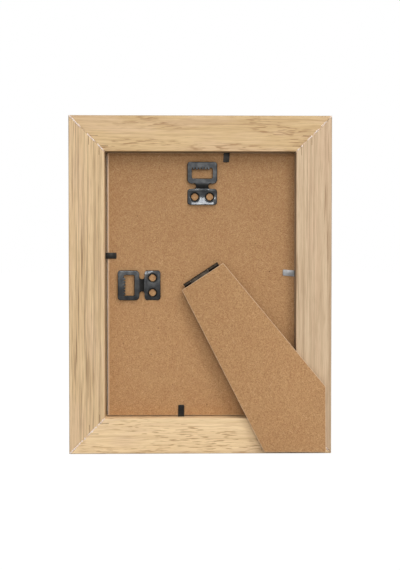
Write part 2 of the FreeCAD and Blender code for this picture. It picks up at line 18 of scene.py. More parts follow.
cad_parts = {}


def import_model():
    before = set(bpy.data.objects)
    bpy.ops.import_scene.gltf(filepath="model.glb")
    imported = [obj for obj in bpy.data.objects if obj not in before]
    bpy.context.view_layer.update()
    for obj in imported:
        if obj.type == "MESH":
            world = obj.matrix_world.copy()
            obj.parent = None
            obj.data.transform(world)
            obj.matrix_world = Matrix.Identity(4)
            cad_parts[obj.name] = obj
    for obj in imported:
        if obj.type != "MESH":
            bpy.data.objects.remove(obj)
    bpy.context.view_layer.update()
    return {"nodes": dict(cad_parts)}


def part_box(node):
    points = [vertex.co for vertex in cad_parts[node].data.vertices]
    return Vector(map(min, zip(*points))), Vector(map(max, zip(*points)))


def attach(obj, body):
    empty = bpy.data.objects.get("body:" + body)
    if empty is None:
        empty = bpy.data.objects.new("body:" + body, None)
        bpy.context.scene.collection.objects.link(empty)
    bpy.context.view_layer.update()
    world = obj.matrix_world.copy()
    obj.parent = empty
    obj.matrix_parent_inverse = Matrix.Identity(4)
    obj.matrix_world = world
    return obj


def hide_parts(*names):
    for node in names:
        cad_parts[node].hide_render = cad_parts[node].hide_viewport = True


LOG = logging.getLogger("photo_frame")
MM = 0.001
Pair = tuple[float, float]
Triple = tuple[float, float, float]
Layer = dict[bmesh.types.BMVert, int]


def mm(*values: float) -> tuple[float, ...]:
    """Millimetres as a tuple of metres."""
    return tuple(value * MM for value in values)


def paint(*channels: int) -> Triple:
    """A colour as it shows on a screen, in the linear values that shaders take.

    Args:
        channels: red, green and blue, 0 to 255.

    Returns:
        The linear colour.
    """
    shares = [channel / 255 for channel in channels]
    return tuple(share / 12.92 if share <= 0.04045 else ((share + 0.055) / 1.055) ** 2.4 for share in shares)


def ramp(value: float, start: float, finish: float) -> float:
    """How far a value has come from a start to a finish, held between 0 and 1."""
    return min(1.0, max(0.0, (value - start) / (finish - start)))


def plateau(value: float, rise: Pair, fall: Pair) -> float:
    """1 between a rising and a falling ramp, and 0 outside them."""
    return min(ramp(value, *rise), ramp(value, *fall))


# Node trees as expressions


class Wire:
    """An output socket that Python's arithmetic works on, each sign adding its Math node."""

    def __init__(self, bench: "Bench", socket: bpy.types.NodeSocket) -> None:
        """Keeps the socket and the bench that its nodes are laid out on."""
        self.bench = bench
        self.socket = socket

    def __add__(self, other: "Value") -> "Wire":
        """The sum."""
        return self.bench.maths("ADD", self, other)

    def __sub__(self, other: "Value") -> "Wire":
        """The difference."""
        return self.bench.maths("SUBTRACT", self, other)

    def __rsub__(self, other: "Value") -> "Wire":
        """The difference, with the wire second."""
        return self.bench.maths("SUBTRACT", other, self)

    def __mul__(self, other: "Value") -> "Wire":
        """The product."""
        return self.bench.maths("MULTIPLY", self, other)

    def __abs__(self) -> "Wire":
        """The value without its sign."""
        return self.bench.maths("ABSOLUTE", self)

    __radd__ = __add__
    __rmul__ = __mul__


Value = Union[Wire, float, Sequence[float], str, bool, None]
Inputs = Mapping[Union[str, int], Value]


class Bench:
    """Lays nodes out in one tree, of a material or of geometry nodes."""

    def __init__(self, tree: bpy.types.NodeTree) -> None:
        """Keeps the tree."""
        self.tree = tree

    def feed(self, socket: bpy.types.NodeSocket, value: Value) -> None:
        """Links a wire to an input, or sets the input's value.

        Args:
            socket: the input.
            value: the wire or the value; a colour comes without its alpha.
        """
        if isinstance(value, Wire):
            self.tree.links.new(value.socket, socket)
        else:
            socket.default_value = (*value, 1.0) if socket.type == "RGBA" else value

    def node(self, kind: str, inputs: Inputs | None = None, **settings: object) -> bpy.types.Node:
        """Adds a node.

        Args:
            kind: the node's type.
            inputs: values or wires, by the name or number of the socket.
            settings: its own settings, which are set first.

        Returns:
            The node.
        """
        node = self.tree.nodes.new(kind)
        for name, value in settings.items():
            setattr(node, name, value)
        for key, value in (inputs or {}).items():
            self.feed(node.inputs[key], value)
        return node

    def wire(self, kind: str, inputs: Inputs | None = None, output: Union[str, int] = 0,
             **settings: object) -> Wire:
        """Adds a node and returns the output that is asked for, by its name or number."""
        return Wire(self, self.node(kind, inputs, **settings).outputs[output])

    def maths(self, operation: str, *terms: Value) -> Wire:
        """One Math node, or a Vector Math node where a term is a vector.

        Args:
            operation: the node's operation.
            terms: its values or wires.

        Returns:
            The result.
        """
        is_vector = any(isinstance(term, Wire) and term.socket.type == "VECTOR" for term in terms)
        if is_vector:
            terms = tuple((term, term, term) if isinstance(term, (int, float)) else term for term in terms)
        kind = "ShaderNodeVectorMath" if is_vector else "ShaderNodeMath"
        return self.wire(kind, dict(enumerate(terms)), operation=operation)

    def smooth(self, value: Value, low: float, high: float, to_low: float = 0.0,
               to_high: float = 1.0) -> Wire:
        """A soft step between two levels.

        Args:
            value: what is compared.
            low: where the step starts.
            high: where it ends.
            to_low: the result below the step.
            to_high: the result above it.

        Returns:
            The result.
        """
        return self.wire("ShaderNodeMapRange", {0: value, 1: low, 2: high, 3: to_low, 4: to_high},
                         interpolation_type="SMOOTHSTEP")

    def step_mm(self, value: Value, start_mm: float, finish_mm: float) -> Wire:
        """A soft step from 0 to 1 between two lengths."""
        return self.smooth(value, start_mm * MM, finish_mm * MM)

    def noise(self, place: Wire, scale: float, seed: Value, detail: float = 2.0,
              roughness: float = 0.5) -> Wire:
        """A noise of about 0 to 1.

        Args:
            place: the coordinates.
            scale: how many features fit in one unit.
            seed: picks the pattern.
            detail: the finer layers on it.
            roughness: how strong they are.

        Returns:
            The noise.
        """
        inputs = {"Vector": place, "W": seed, "Scale": scale, "Detail": detail, "Roughness": roughness}
        return self.wire("ShaderNodeTexNoise", inputs, noise_dimensions="4D")

    def split(self, vector: Wire) -> tuple[Wire, Wire, Wire]:
        """The three parts of a vector."""
        node = self.node("ShaderNodeSeparateXYZ", {0: vector})
        return tuple(Wire(self, output) for output in node.outputs)

    def join(self, x: Value, y: Value, z: Value) -> Wire:
        """A vector from its three parts."""
        return self.wire("ShaderNodeCombineXYZ", {0: x, 1: y, 2: z})


class Finish:
    """A material under way: its bench, its principled shader and the mixing of its colours."""

    def __init__(self, name: str) -> None:
        """Starts a material with a principled shader.

        Args:
            name: the material's name.
        """
        self.material = bpy.data.materials.new(name)
        self.material.use_nodes = True
        self.material.node_tree.nodes.clear()
        self.bench = Bench(self.material.node_tree)
        self.shader = self.bench.wire("ShaderNodeBsdfPrincipled")
        self.output = self.bench.node("ShaderNodeOutputMaterial", {"Surface": self.shader})

    def place(self) -> Wire:
        """Where a point is on the object."""
        return self.bench.wire("ShaderNodeTexCoord", None, "Object")

    def attribute(self, name: str) -> Wire:
        """A value that the mesh carries."""
        return self.bench.wire("ShaderNodeAttribute", None, "Fac", attribute_name=name)

    def mix(self, share: Value, low: Value, high: Value, blend: str = "MIX") -> Wire:
        """A mix of two colours.

        Args:
            share: how much of the second.
            low: the first colour.
            high: the second colour.
            blend: how they are mixed.

        Returns:
            The colour.
        """
        return self.bench.wire("ShaderNodeMix", {0: share, 6: low, 7: high}, 2,
                               data_type="RGBA", blend_type=blend, clamp_factor=True)

    def cover(self, tone: Value, *layers: tuple[Value, Value]) -> Value:
        """Lays colours over each other.

        Args:
            tone: the lowest colour.
            layers: the share and the colour of each layer on it, in order.

        Returns:
            The colour.
        """
        for share, colour in layers:
            tone = self.mix(share, tone, colour)
        return tone

    def set(self, **values: Value) -> None:
        """Feeds the shader's sockets, each named with underscores for spaces."""
        for name, value in values.items():
            self.bench.feed(self.shader.socket.node.inputs[name.replace("_", " ")], value)

    def bump(self, height: Wire, depth_mm: float, strength: float) -> None:
        """Gives the surface a fine relief of a depth, of which a share shows."""
        inputs = {"Height": height, "Distance": depth_mm * MM, "Strength": strength}
        self.set(Normal=self.bench.wire("ShaderNodeBump", inputs))


# Finishes


class Grain(Enum):
    """Which way a rail's grain runs."""

    ACROSS = "across"
    UP = "up"


@dataclass(frozen=True)
class Oak:
    """Oak-look wrap on a moulding rail: growth rings, porous streaks and fine fibres, with painted shade on
    its outer back edge and, on some rails, on its rebate wall.
    """

    name: str
    grain: Grain
    light: Triple
    dark: Triple
    pore: Triple
    seed: float
    waviness_mm: float
    ring_count: float
    pore_share: float
    pores_per_metre: float
    slant: float = 0.0
    figure: float = 1.0
    wall_shade_share: float = 0.0
    rosy: Triple = paint(216, 184, 152)
    # painted shade for the rounded outer back edge
    arris_shade: Triple = paint(134, 120, 100)
    # painted shade for the rebate wall, on the rails whose wall stands in shade
    wall: Triple = paint(70, 48, 30)
    filler: Triple = paint(238, 214, 190)

    def make(self) -> bpy.types.Material:
        """Builds the material.

        Returns:
            The material.
        """
        finish = Finish(self.name)
        bench = finish.bench
        x, y, z = bench.split(finish.place())
        along, across = (x, z) if self.grain is Grain.ACROSS else (z, x)

        def layer(side: Wire, rates: Triple, shift: int, detail: float, roughness: float = 0.5) -> Wire:
            """A noise that is drawn out along the grain.

            Args:
                side: the coordinate across the grain.
                rates: how many features fit in a metre along the grain, across it and in depth.
                shift: what it adds to the seed.
                detail: the finer layers on it.
                roughness: how strong they are.

            Returns:
                The noise.
            """
            place = bench.join(along * rates[0], side * rates[1], y * rates[2])
            return bench.noise(place, 1.0, self.seed + shift, detail, roughness)

        sway = (layer(across, (11, 30, 20), 0, 2.0) - 0.5) * (2 * self.waviness_mm * MM)
        shiver = (layer(across, (60, 170, 60), 3, 1.0) - 0.5) * (0.75 * self.waviness_mm * MM)
        wavy = across + sway + shiver
        field = layer(wavy + along * self.slant, (6, 42, 30), 7, 1.0, 0.4)
        rings = bench.maths("SINE", field * (2 * math.pi * self.ring_count)) * 0.5 + 0.5
        porous = bench.smooth(rings, 0.45, 1.0)
        streaks = layer(wavy, (14, 420, 300), 11, 4.0, 0.8)
        fibres = layer(wavy, (70, 1500, 900), 13, 2.0, 0.6)
        dashes = layer(wavy, (self.pores_per_metre, 1500, 700), 17, 1.0)
        pores = bench.smooth(dashes, 0.55, 0.64) * (porous * 0.85 + 0.15)
        lines = bench.smooth(layer(wavy, (9, 1050, 400), 19, 2.0, 0.6), 0.54, 0.61) * self.pore_share
        hue = layer(across, (25, 120, 60), 23, 2.0)

        inset, depth = finish.attribute("inset"), finish.attribute("depth")
        # outer marks the rounded outer back edge, which takes the arris colour as painted shade.
        outer = bench.step_mm(inset, 0.7, 0.2) * bench.step_mm(depth, 16.6, 17.3)
        # inner marks the rebate wall, which takes the wall colour as painted shade on the top and right
        # rails.
        inner = bench.step_mm(inset, 23.8, 23.95) * bench.step_mm(depth, 17.7, 17.2)
        half = 0.5 * self.figure
        tone = finish.mix(bench.smooth(streaks, 0.3, 0.7, 0.5 - half, 0.5 + half), self.light, self.dark)
        tone = finish.cover(
            tone,
            (porous * (0.3 * self.figure), self.dark),
            (bench.smooth(hue, 0.45, 0.65) * 0.35, self.rosy),
            (bench.smooth(fibres, 0.45, 0.7) * 0.22, self.pore),
            (pores * 0.6, self.pore),
            (lines * 0.55, self.pore),
            (outer * 0.5, self.arris_shade),
            (inner * self.wall_shade_share, self.wall),
            (bench.smooth(finish.attribute("chip"), 0.25, 0.6), self.filler))
        finish.set(Base_Color=tone, Specular_IOR_Level=0.35, Roughness=0.52 + fibres * 0.12 + pores * 0.15)
        finish.bump(fibres * 0.3 + streaks * 0.4 - pores * 0.8 - lines * 0.5, 0.05, 0.5)
        return finish.material


@dataclass(frozen=True)
class Fibreboard:
    """Raw brown fibreboard: pressed fibres, specks and paler sawn edges, partly painted light, and painted
    light and shade that make it lighter towards the bottom and darker towards the top.
    """

    name: str
    face: Triple
    seed: float
    # painted light and shade by height: the colour's factor near the bottom and near the top
    painted_light_by_height: Pair
    painted_light_heights_mm: Pair = (30.0, 200.0)
    fibre_angles: tuple[float, ...] = (10.0, 55.0, 100.0, 150.0)
    # the sawn fibre's paler colour, raised further as painted light so that edges facing away from the lamps
    # stay bright
    edge: Triple = paint(220, 192, 162)
    dark: Triple = paint(140, 98, 62)
    pale: Triple = paint(204, 166, 124)
    cloud: Triple = paint(172, 124, 84)
    patch: Triple = paint(199, 159, 111)
    speck: Triple = paint(84, 56, 38)

    def fibre_layer(self, finish: Finish, place: Wire, angle: float, seed: float) -> Wire:
        """Short fibres that lie one way.

        Args:
            finish: the material under way.
            place: where a point is on the object.
            angle: the way they lie, in degrees.
            seed: picks the pattern.

        Returns:
            Where the fibres are, 0 to 1.
        """
        bench = finish.bench
        turn = (0.0, math.radians(angle), 0.0)
        turned = bench.wire("ShaderNodeMapping", {"Vector": place, "Rotation": turn})
        drawn = bench.maths("MULTIPLY", turned, (300.0, 900.0, 2600.0))
        return bench.smooth(bench.noise(drawn, 1.0, seed, 1.0), 0.62, 0.74)

    def make(self) -> bpy.types.Material:
        """Builds the material.

        Returns:
            The material.
        """
        finish = Finish(self.name)
        bench = finish.bench
        place = finish.place()
        clouds = bench.noise(place, 70.0, self.seed, 3.0, 0.6)
        mottle = bench.noise(place, 640.0, self.seed + 2, 3.0, 0.65)
        dust = bench.noise(place, 1500.0, self.seed + 4, 4.0, 0.75)
        cells = bench.node("ShaderNodeTexVoronoi", {"Vector": place, "Scale": 210.0}, feature="F1")
        pick, _, strength = bench.split(Wire(bench, cells.outputs["Color"]))
        spots = bench.smooth(Wire(bench, cells.outputs["Distance"]), 0.11, 0.06)
        fibres = []
        for number, angle in enumerate(self.fibre_angles):
            lying = self.fibre_layer(finish, place, angle, self.seed + 10 + number)
            fibres.append((lying * 0.6, self.pale if number % 2 else self.dark))
        tone = finish.cover(
            self.face,
            (bench.smooth(clouds, 0.3, 0.7) * 0.42, self.cloud),
            (bench.smooth(mottle, 0.36, 0.66) * 0.68, self.patch),
            (bench.smooth(dust, 0.40, 0.70) * 0.85, self.dark),
            *fibres,
            (spots * bench.smooth(pick, 0.90, 0.92) * strength, self.speck))
        # Painted light and shade: the colour is multiplied up near the bottom and down near the top.
        _, _, height = bench.split(place)
        shade = bench.smooth(height, *mm(*self.painted_light_heights_mm), *self.painted_light_by_height)
        tone = finish.mix(1.0, tone, bench.join(shade, shade, shade), "MULTIPLY")
        # Sawn edges and the pressed strip take the paler edge colour, partly the fibre's own and partly
        # painted light.
        tone = finish.mix(finish.attribute("cut_edge") * (0.55 + mottle * 0.5), tone, self.edge)
        finish.set(Base_Color=tone, Roughness=0.78 + dust * 0.2, Specular_IOR_Level=0.25)
        finish.bump(dust * 0.5 + mottle * 0.5, 0.09, 0.6)
        return finish.material


@dataclass(frozen=True)
class Steel:
    """Thin sheet steel, blackened or bare: cloudy, gritty, and painted near-black where the mesh carries
    painted shade and painted dark reflections.
    """

    name: str
    colour: Triple
    rubbed: Triple
    roughness: float
    seed: float
    wobble_mm: float = 0.02
    # colour of painted shade and painted dark reflections
    painted_shade: Triple = (0.012, 0.011, 0.010)

    def make(self) -> bpy.types.Material:
        """Builds the material.

        Returns:
            The material.
        """
        finish = Finish(self.name)
        bench = finish.bench
        place = finish.place()
        clouds = bench.noise(place, 260.0, self.seed, 3.0, 0.6)
        grit = bench.noise(place, 2400.0, self.seed + 1, 2.0)
        waves = bench.noise(place, 330.0, self.seed + 2, 1.0)
        # The mesh's painted shade and painted dark reflections turn the steel near-black.
        painted_shade = finish.attribute("painted_shade")
        tone = finish.cover(
            self.colour,
            (bench.smooth(clouds, 0.40, 0.65) * 0.8, self.rubbed),
            (bench.smooth(grit, 0.62, 0.75) * 0.5, self.rubbed),
            (painted_shade, self.painted_shade))
        roughness = self.roughness + clouds * 0.06 + bench.smooth(grit, 0.5, 0.8) * 0.05 + painted_shade * 0.2
        finish.set(Base_Color=tone, Metallic=0.92, Roughness=roughness)
        finish.bump(waves + grit * 0.05, self.wobble_mm, 0.6)
        return finish.material


@dataclass(frozen=True)
class Glazing:
    """Clear float glass, faintly green and faintly smeared."""

    name: str = "glass_clear"
    colour: Triple = (0.93, 0.97, 0.95)

    def make(self) -> bpy.types.Material:
        """Builds the material.

        Returns:
            The material.
        """
        finish = Finish(self.name)
        bench = finish.bench
        smears = bench.smooth(bench.noise(finish.place(), 45.0, 5.0, 3.0, 0.6), 0.55, 0.8)
        finish.set(Base_Color=self.colour, IOR=1.5, Alpha=0.14 + smears * 0.02,
                   Roughness=0.02 + smears * 0.04)
        return finish.material


@dataclass(frozen=True)
class PhotoPaper:
    """A blank sheet of satin photo paper."""

    name: str = "photo_paper_satin"
    light: Triple = paint(246, 245, 242)
    dark: Triple = paint(240, 239, 236)

    def make(self) -> bpy.types.Material:
        """Builds the material.

        Returns:
            The material.
        """
        finish = Finish(self.name)
        bench = finish.bench
        tooth = bench.noise(finish.place(), 2600.0, 2.0, 2.0)
        clouds = bench.noise(finish.place(), 24.0, 4.0, 2.0)
        tone = finish.mix(bench.smooth(clouds, 0.35, 0.7), self.light, self.dark)
        finish.set(Base_Color=tone, Roughness=0.38 + tooth * 0.1)
        finish.bump(tooth, 0.01, 0.5)
        return finish.material


@dataclass(frozen=True)
class Filler:
    """Pale filler that was pressed into the mitres and dried in crumbs."""

    name: str = "mitre_filler"
    light: Triple = paint(252, 243, 236)
    dark: Triple = paint(236, 212, 194)

    def make(self) -> bpy.types.Material:
        """Builds the material.

        Returns:
            The material.
        """
        finish = Finish(self.name)
        lumps = finish.bench.noise(finish.place(), 900.0, 8.0, 3.0)
        tone = finish.mix(finish.bench.smooth(lumps, 0.3, 0.7), self.light, self.dark)
        finish.set(Base_Color=tone, Roughness=0.75 + lumps * 0.15)
        finish.bump(lumps, 0.05, 0.6)
        return finish.material


# Shared making


def new_piece(name: str, data: bpy.types.ID) -> bpy.types.Object:
    """Puts an object into the scene at the origin.

    Args:
        name: the object's name.
        data: its mesh, with its place in it, or its curve, light or camera.

    Returns:
        The object.
    """
    piece = bpy.data.objects.new(name, data)
    bpy.context.scene.collection.objects.link(piece)
    return piece


def dress(piece: bpy.types.Object, material: bpy.types.Material) -> None:
    """Gives a piece one material."""
    piece.data.materials.clear()
    piece.data.materials.append(material)


def settle(piece: bpy.types.Object, body: str, replaced: Iterable[str] = ()) -> None:
    """Says which body a piece moves with and what it stands for.

    Args:
        piece: the finished piece.
        body: the body that it rides on.
        replaced: the nodes that it stands for.
    """
    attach(piece, body)
    if replaced:
        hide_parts(*replaced)
    LOG.info("%s rides on %s", piece.name, body)


def smooth_by_angle(mesh: bpy.types.Mesh, degrees: float) -> None:
    """Shades a mesh smooth apart from its sharp edges."""
    mesh.shade_smooth()
    mesh.set_sharp_from_angle(angle=math.radians(degrees))


def is_sharp(degrees: float) -> Callable[[bmesh.types.BMEdge], bool]:
    """A test for edges where the surface turns by more than an angle."""
    return lambda edge: edge.calc_face_angle(0.0) > math.radians(degrees)


def ease_edges(shape: bmesh.types.BMesh, edges: Sequence[bmesh.types.BMEdge], width_mm: float,
               segments: int) -> None:
    """Rounds edges of a mesh, no wider than there is room for."""
    bmesh.ops.bevel(shape, geom=edges, offset=width_mm * MM, segments=segments, profile=0.5,
                    affect="EDGES", clamp_overlap=True)


def divide(shape: bmesh.types.BMesh, axis: int, offset: float, tolerance: float) -> None:
    """Divides a mesh along the plane that stands square to an axis, and takes nothing away.

    Args:
        shape: the mesh.
        axis: 0, 1 or 2.
        offset: where the plane is on the axis.
        tolerance: how close a point counts as on it.
    """
    normal = Vector([float(axis == number) for number in range(3)])
    geometry = shape.verts[:] + shape.edges[:] + shape.faces[:]
    bmesh.ops.bisect_plane(shape, geom=geometry, dist=tolerance, plane_co=normal * offset, plane_no=normal)


def mark_cut_edges(shape: bmesh.types.BMesh, share: Callable[[bmesh.types.BMFace], float]) -> None:
    """Stores how much of a sawn edge each face is, for the fibreboard's finish.

    Args:
        shape: the mesh.
        share: gives a face's share.
    """
    layer = shape.faces.layers.float.new("cut_edge")
    for face in shape.faces:
        face[layer] = share(face)


def refined_copy(node: str, name: str, bevel_mm: float, picks: Callable[[bmesh.types.BMEdge], bool],
                 marks: Callable[[bmesh.types.BMFace], float] | None = None) -> bpy.types.Object:
    """A merged copy of a node's mesh with its sharp edges eased.

    Args:
        node: the node that is copied.
        name: the new piece's name.
        bevel_mm: how far the edges are eased, or 0.
        picks: which edges are eased.
        marks: how much of a sawn edge each face is.

    Returns:
        The piece.
    """
    mesh = frame["nodes"][node].data.copy()
    shape = bmesh.new()
    shape.from_mesh(mesh)
    bmesh.ops.remove_doubles(shape, verts=shape.verts, dist=0.001 * MM)
    bmesh.ops.dissolve_limit(shape, angle_limit=math.radians(0.5), verts=shape.verts, edges=shape.edges)
    if bevel_mm:
        ease_edges(shape, [edge for edge in shape.edges if edge.is_manifold and picks(edge)], bevel_mm, 3)
    bmesh.ops.triangulate(shape, faces=[face for face in shape.faces if len(face.verts) > 4])
    if marks:
        mark_cut_edges(shape, marks)
    shape.to_mesh(mesh)
    shape.free()
    mesh.name = name
    smooth_by_angle(mesh, 40)
    return new_piece(name, mesh)


def face_outwards(mesh: bpy.types.Mesh) -> None:
    """Merges a mesh's doubles and turns its faces outwards.

    Args:
        mesh: the mesh, in metres.
    """
    shape = bmesh.new()
    shape.from_mesh(mesh)
    bmesh.ops.remove_doubles(shape, verts=shape.verts, dist=0.0005 * MM)
    bmesh.ops.recalc_face_normals(shape, faces=shape.faces)
    shape.to_mesh(mesh)
    shape.free()


def rounded_loop(corners: Sequence[Triple], steps: int) -> list[Pair]:
    """A closed outline with rounded corners.

    Args:
        corners: the corners in order, each with its radius, which is 0 for a sharp one.
        steps: how many pieces each round corner has.

    Returns:
        The points in order.
    """
    points: list[Pair] = []
    places = [Vector(corner[:2]) for corner in corners]
    for number, (_, _, radius) in enumerate(corners):
        here = places[number]
        back = (places[number - 1] - here).normalized()
        ahead = (places[(number + 1) % len(places)] - here).normalized()
        if radius <= 0:
            points.append(tuple(here))
            continue
        half = back.angle(ahead) / 2
        middle = here + (back + ahead).normalized() * (radius / math.sin(half))
        start = here + back * (radius / math.tan(half)) - middle
        finish = here + ahead * (radius / math.tan(half)) - middle
        turn = start.angle_signed(finish)
        for step in range(steps + 1):
            arm = start.copy()
            arm.rotate(Matrix.Rotation(-turn * step / steps, 2))
            points.append(tuple(middle + arm))
    return points


class Recipe(Bench):
    """A geometry nodes tree with named inputs, run once on a mesh and then taken off."""

    def __init__(self, name: str, inputs: Mapping[str, float]) -> None:
        """Starts a tree.

        Args:
            name: the tree's name.
            inputs: its inputs and their values; whole numbers stay whole.
        """
        super().__init__(bpy.data.node_groups.new(name, "GeometryNodeTree"))
        self.values: dict[str, float] = {}
        interface = self.tree.interface
        interface.new_socket("Geometry", in_out="INPUT", socket_type="NodeSocketGeometry")
        for label, value in inputs.items():
            kind = "NodeSocketInt" if isinstance(value, int) else "NodeSocketFloat"
            self.values[interface.new_socket(label, in_out="INPUT", socket_type=kind).identifier] = value
        interface.new_socket("Geometry", in_out="OUTPUT", socket_type="NodeSocketGeometry")
        self.entry = self.tree.nodes.new("NodeGroupInput")

    def given(self, label: str) -> Wire:
        """One of the tree's inputs."""
        return Wire(self, self.entry.outputs[label])

    def carried(self, label: str) -> Wire:
        """A number that the mesh's points carry."""
        return self.wire("GeometryNodeInputNamedAttribute", {"Name": label}, data_type="FLOAT")

    def random(self, low: Triple, high: Triple) -> Wire:
        """A random vector for each instance, from the tree's own seed."""
        inputs = {"Min": low, "Max": high, "Seed": self.given("Seed")}
        return self.wire("FunctionNodeRandomValue", inputs, data_type="FLOAT_VECTOR")

    def finish(self, geometry: Wire, material: bpy.types.Material) -> None:
        """Ends the tree with real geometry in one material.

        Args:
            geometry: what the tree has made.
            material: its material.
        """
        real = self.wire("GeometryNodeRealizeInstances", {"Geometry": geometry})
        dressed = self.wire("GeometryNodeSetMaterial", {"Geometry": real, "Material": material})
        self.node("NodeGroupOutput", {0: dressed})

    def run(self, name: str, start: bpy.types.Mesh, place: Matrix) -> bpy.types.Mesh:
        """Runs the tree on a mesh.

        Args:
            name: the new mesh's name.
            start: the mesh that goes in.
            place: where the result goes.

        Returns:
            The result as a plain mesh.
        """
        holder = new_piece(name + "_start", start)
        modifier = holder.modifiers.new(name, "NODES")
        modifier.node_group = self.tree
        for identifier, value in self.values.items():
            modifier[identifier] = value
        evaluated = holder.evaluated_get(bpy.context.evaluated_depsgraph_get())
        mesh = bpy.data.meshes.new_from_object(evaluated)
        holder.modifiers.remove(modifier)
        bpy.data.objects.remove(holder)
        mesh.name = name
        mesh.transform(place)
        return mesh


# The moulding


@dataclass
class Moulding:
    """The four mitred rails, their chips and filler, and the V-nails that hold them.

    The chip and gap pairs are soft steps from their first length to their second. A skin is how far
    under the back face it starts and ends.
    """

    rebate_inset_mm: float = 24.0
    lip_reach_mm: float = 5.0
    lip_mm: float = 4.5
    lip_round_mm: float = 0.25
    depth_mm: float = 18.0
    back_round_mm: float = 0.8
    front_round_mm: float = 1.2
    wall_round_mm: float = 0.4
    face_step_mm: float = 0.55
    sections: int = 150
    crowding: float = 0.45
    chip_depth_mm: float = 0.7
    chip_reach_mm: Pair = (1.3, 0.3)
    chip_skin_mm: Pair = (1.0, 0.1)
    gap_mm: float = 0.55
    gap_reach_mm: Pair = (0.8, 0.0)
    gap_skin_mm: Pair = (4.0, 1.5)
    gap_start_mm: Pair = (0.9, 1.8)
    gap_end_mm: Pair = (4.6, 3.4)
    nail_insets_mm: Pair = (20.5, 13.6)
    nail_leg_mm: float = 6.2
    nail_height_mm: float = 7.0
    nail_sink_mm: float = 0.3
    slot_mm: float = 0.34
    slot_play_mm: float = 0.5
    crumbs: int = 420
    crumb_mm: float = 0.25
    crumb_spread_mm: float = 0.36
    crumb_lump_mm: float = 0.35
    mitre_margin_mm: float = 0.6

    def build(self) -> None:
        """Builds the rails, the filler and the nails."""
        low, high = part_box("moulding_bottom")[0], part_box("moulding_top")[1]
        width, height = (high.x - low.x) / MM, (high.z - low.z) / MM
        front, middle = high.y, height * MM / 2
        places = {
            "bottom": (width, 0.0, (0.0, front, 0.0)),
            "left": (height, 90.0, (low.x, front, middle)),
            "top": (width, 180.0, (0.0, front, high.z)),
            "right": (height, -90.0, (high.x, front, middle)),
        }
        oaks = self.oaks()
        facing_back = Matrix.Rotation(math.radians(90), 4, "X")
        for seed, (side, (length, angle, where)) in enumerate(places.items(), 1):
            place = Matrix.Translation(where) @ Matrix.Rotation(math.radians(angle), 4, "Y") @ facing_back
            recipe = self.rail_recipe(oaks[side].make(), length, seed)
            mesh = recipe.run("rail_" + side, self.profile(), place)
            face_outwards(mesh)
            smooth_by_angle(mesh, 32)
            settle(new_piece("rail_" + side, mesh), "frame", ["moulding_" + side])
        self.press_filler(low, high)
        self.dress_nails()

    def oaks(self) -> dict[str, Oak]:
        """The rails' finishes: plain figure on the lying ones and straight lines on the upright ones.

        Returns:
            The finishes by side.
        """
        lying = {"grain": Grain.ACROSS, "waviness_mm": 1.8, "ring_count": 5.0, "pore_share": 0.4,
                 "pores_per_metre": 130.0, "slant": 0.16, "figure": 0.7}
        upright = {"grain": Grain.UP, "ring_count": 3.0, "pores_per_metre": 24.0}
        # Each rail has its own tone. The bottom rail is paler and the top rail darker partly as painted light
        # that is brighter towards the bottom. The top and right rails get painted shade on their rebate
        # walls.
        return {
            "bottom": Oak("oak_bottom", light=paint(250, 223, 179), dark=paint(224, 193, 148),
                          pore=paint(158, 114, 70), seed=3.0, **lying),
            "top": Oak("oak_top", light=paint(222, 193, 147), dark=paint(195, 162, 116),
                       pore=paint(140, 98, 58), seed=23.0, wall_shade_share=0.5, **lying),
            "left": Oak("oak_left", light=paint(232, 204, 161), dark=paint(199, 167, 125),
                        pore=paint(116, 82, 52), seed=47.0, waviness_mm=0.7, pore_share=0.7, figure=0.6,
                        **upright),
            "right": Oak("oak_right", light=paint(219, 194, 161), dark=paint(190, 161, 128),
                         pore=paint(132, 98, 66), seed=61.0, waviness_mm=0.6, pore_share=0.5, figure=0.7,
                         wall_shade_share=0.45, **upright),
        }

    def profile(self) -> bpy.types.Mesh:
        """The rail's closed outline as a mesh of edges, each point with its inset and its depth.

        Returns:
            The mesh.
        """
        rebate, sight = self.rebate_inset_mm, self.rebate_inset_mm + self.lip_reach_mm
        points = rounded_loop([
            (0.0, 0.0, self.front_round_mm), (sight, 0.0, self.front_round_mm),
            (sight, self.lip_mm, self.lip_round_mm), (rebate, self.lip_mm, 0.0),
            (rebate, self.depth_mm, self.wall_round_mm), (0.0, self.depth_mm, self.back_round_mm)], 6)
        fine: list[Pair] = []
        for here, there in zip(points, points[1:] + points[:1]):
            parts = max(1, round(math.dist(here, there) / self.face_step_mm))
            count = parts if here[1] > self.depth_mm / 2 else 1
            for part in range(count):
                share = part / count
                fine.append((here[0] + (there[0] - here[0]) * share, here[1] + (there[1] - here[1]) * share))
        mesh = bpy.data.meshes.new("rail_profile")
        edges = [(number, (number + 1) % len(fine)) for number in range(len(fine))]
        mesh.from_pydata([(*mm(x, y), 0.0) for x, y in fine], edges, [])
        for label, column in (("inset", 0), ("depth", 1)):
            values = mesh.attributes.new(label, "FLOAT", "POINT")
            values.data.foreach_set("value", [point[column] * MM for point in fine])
        return mesh

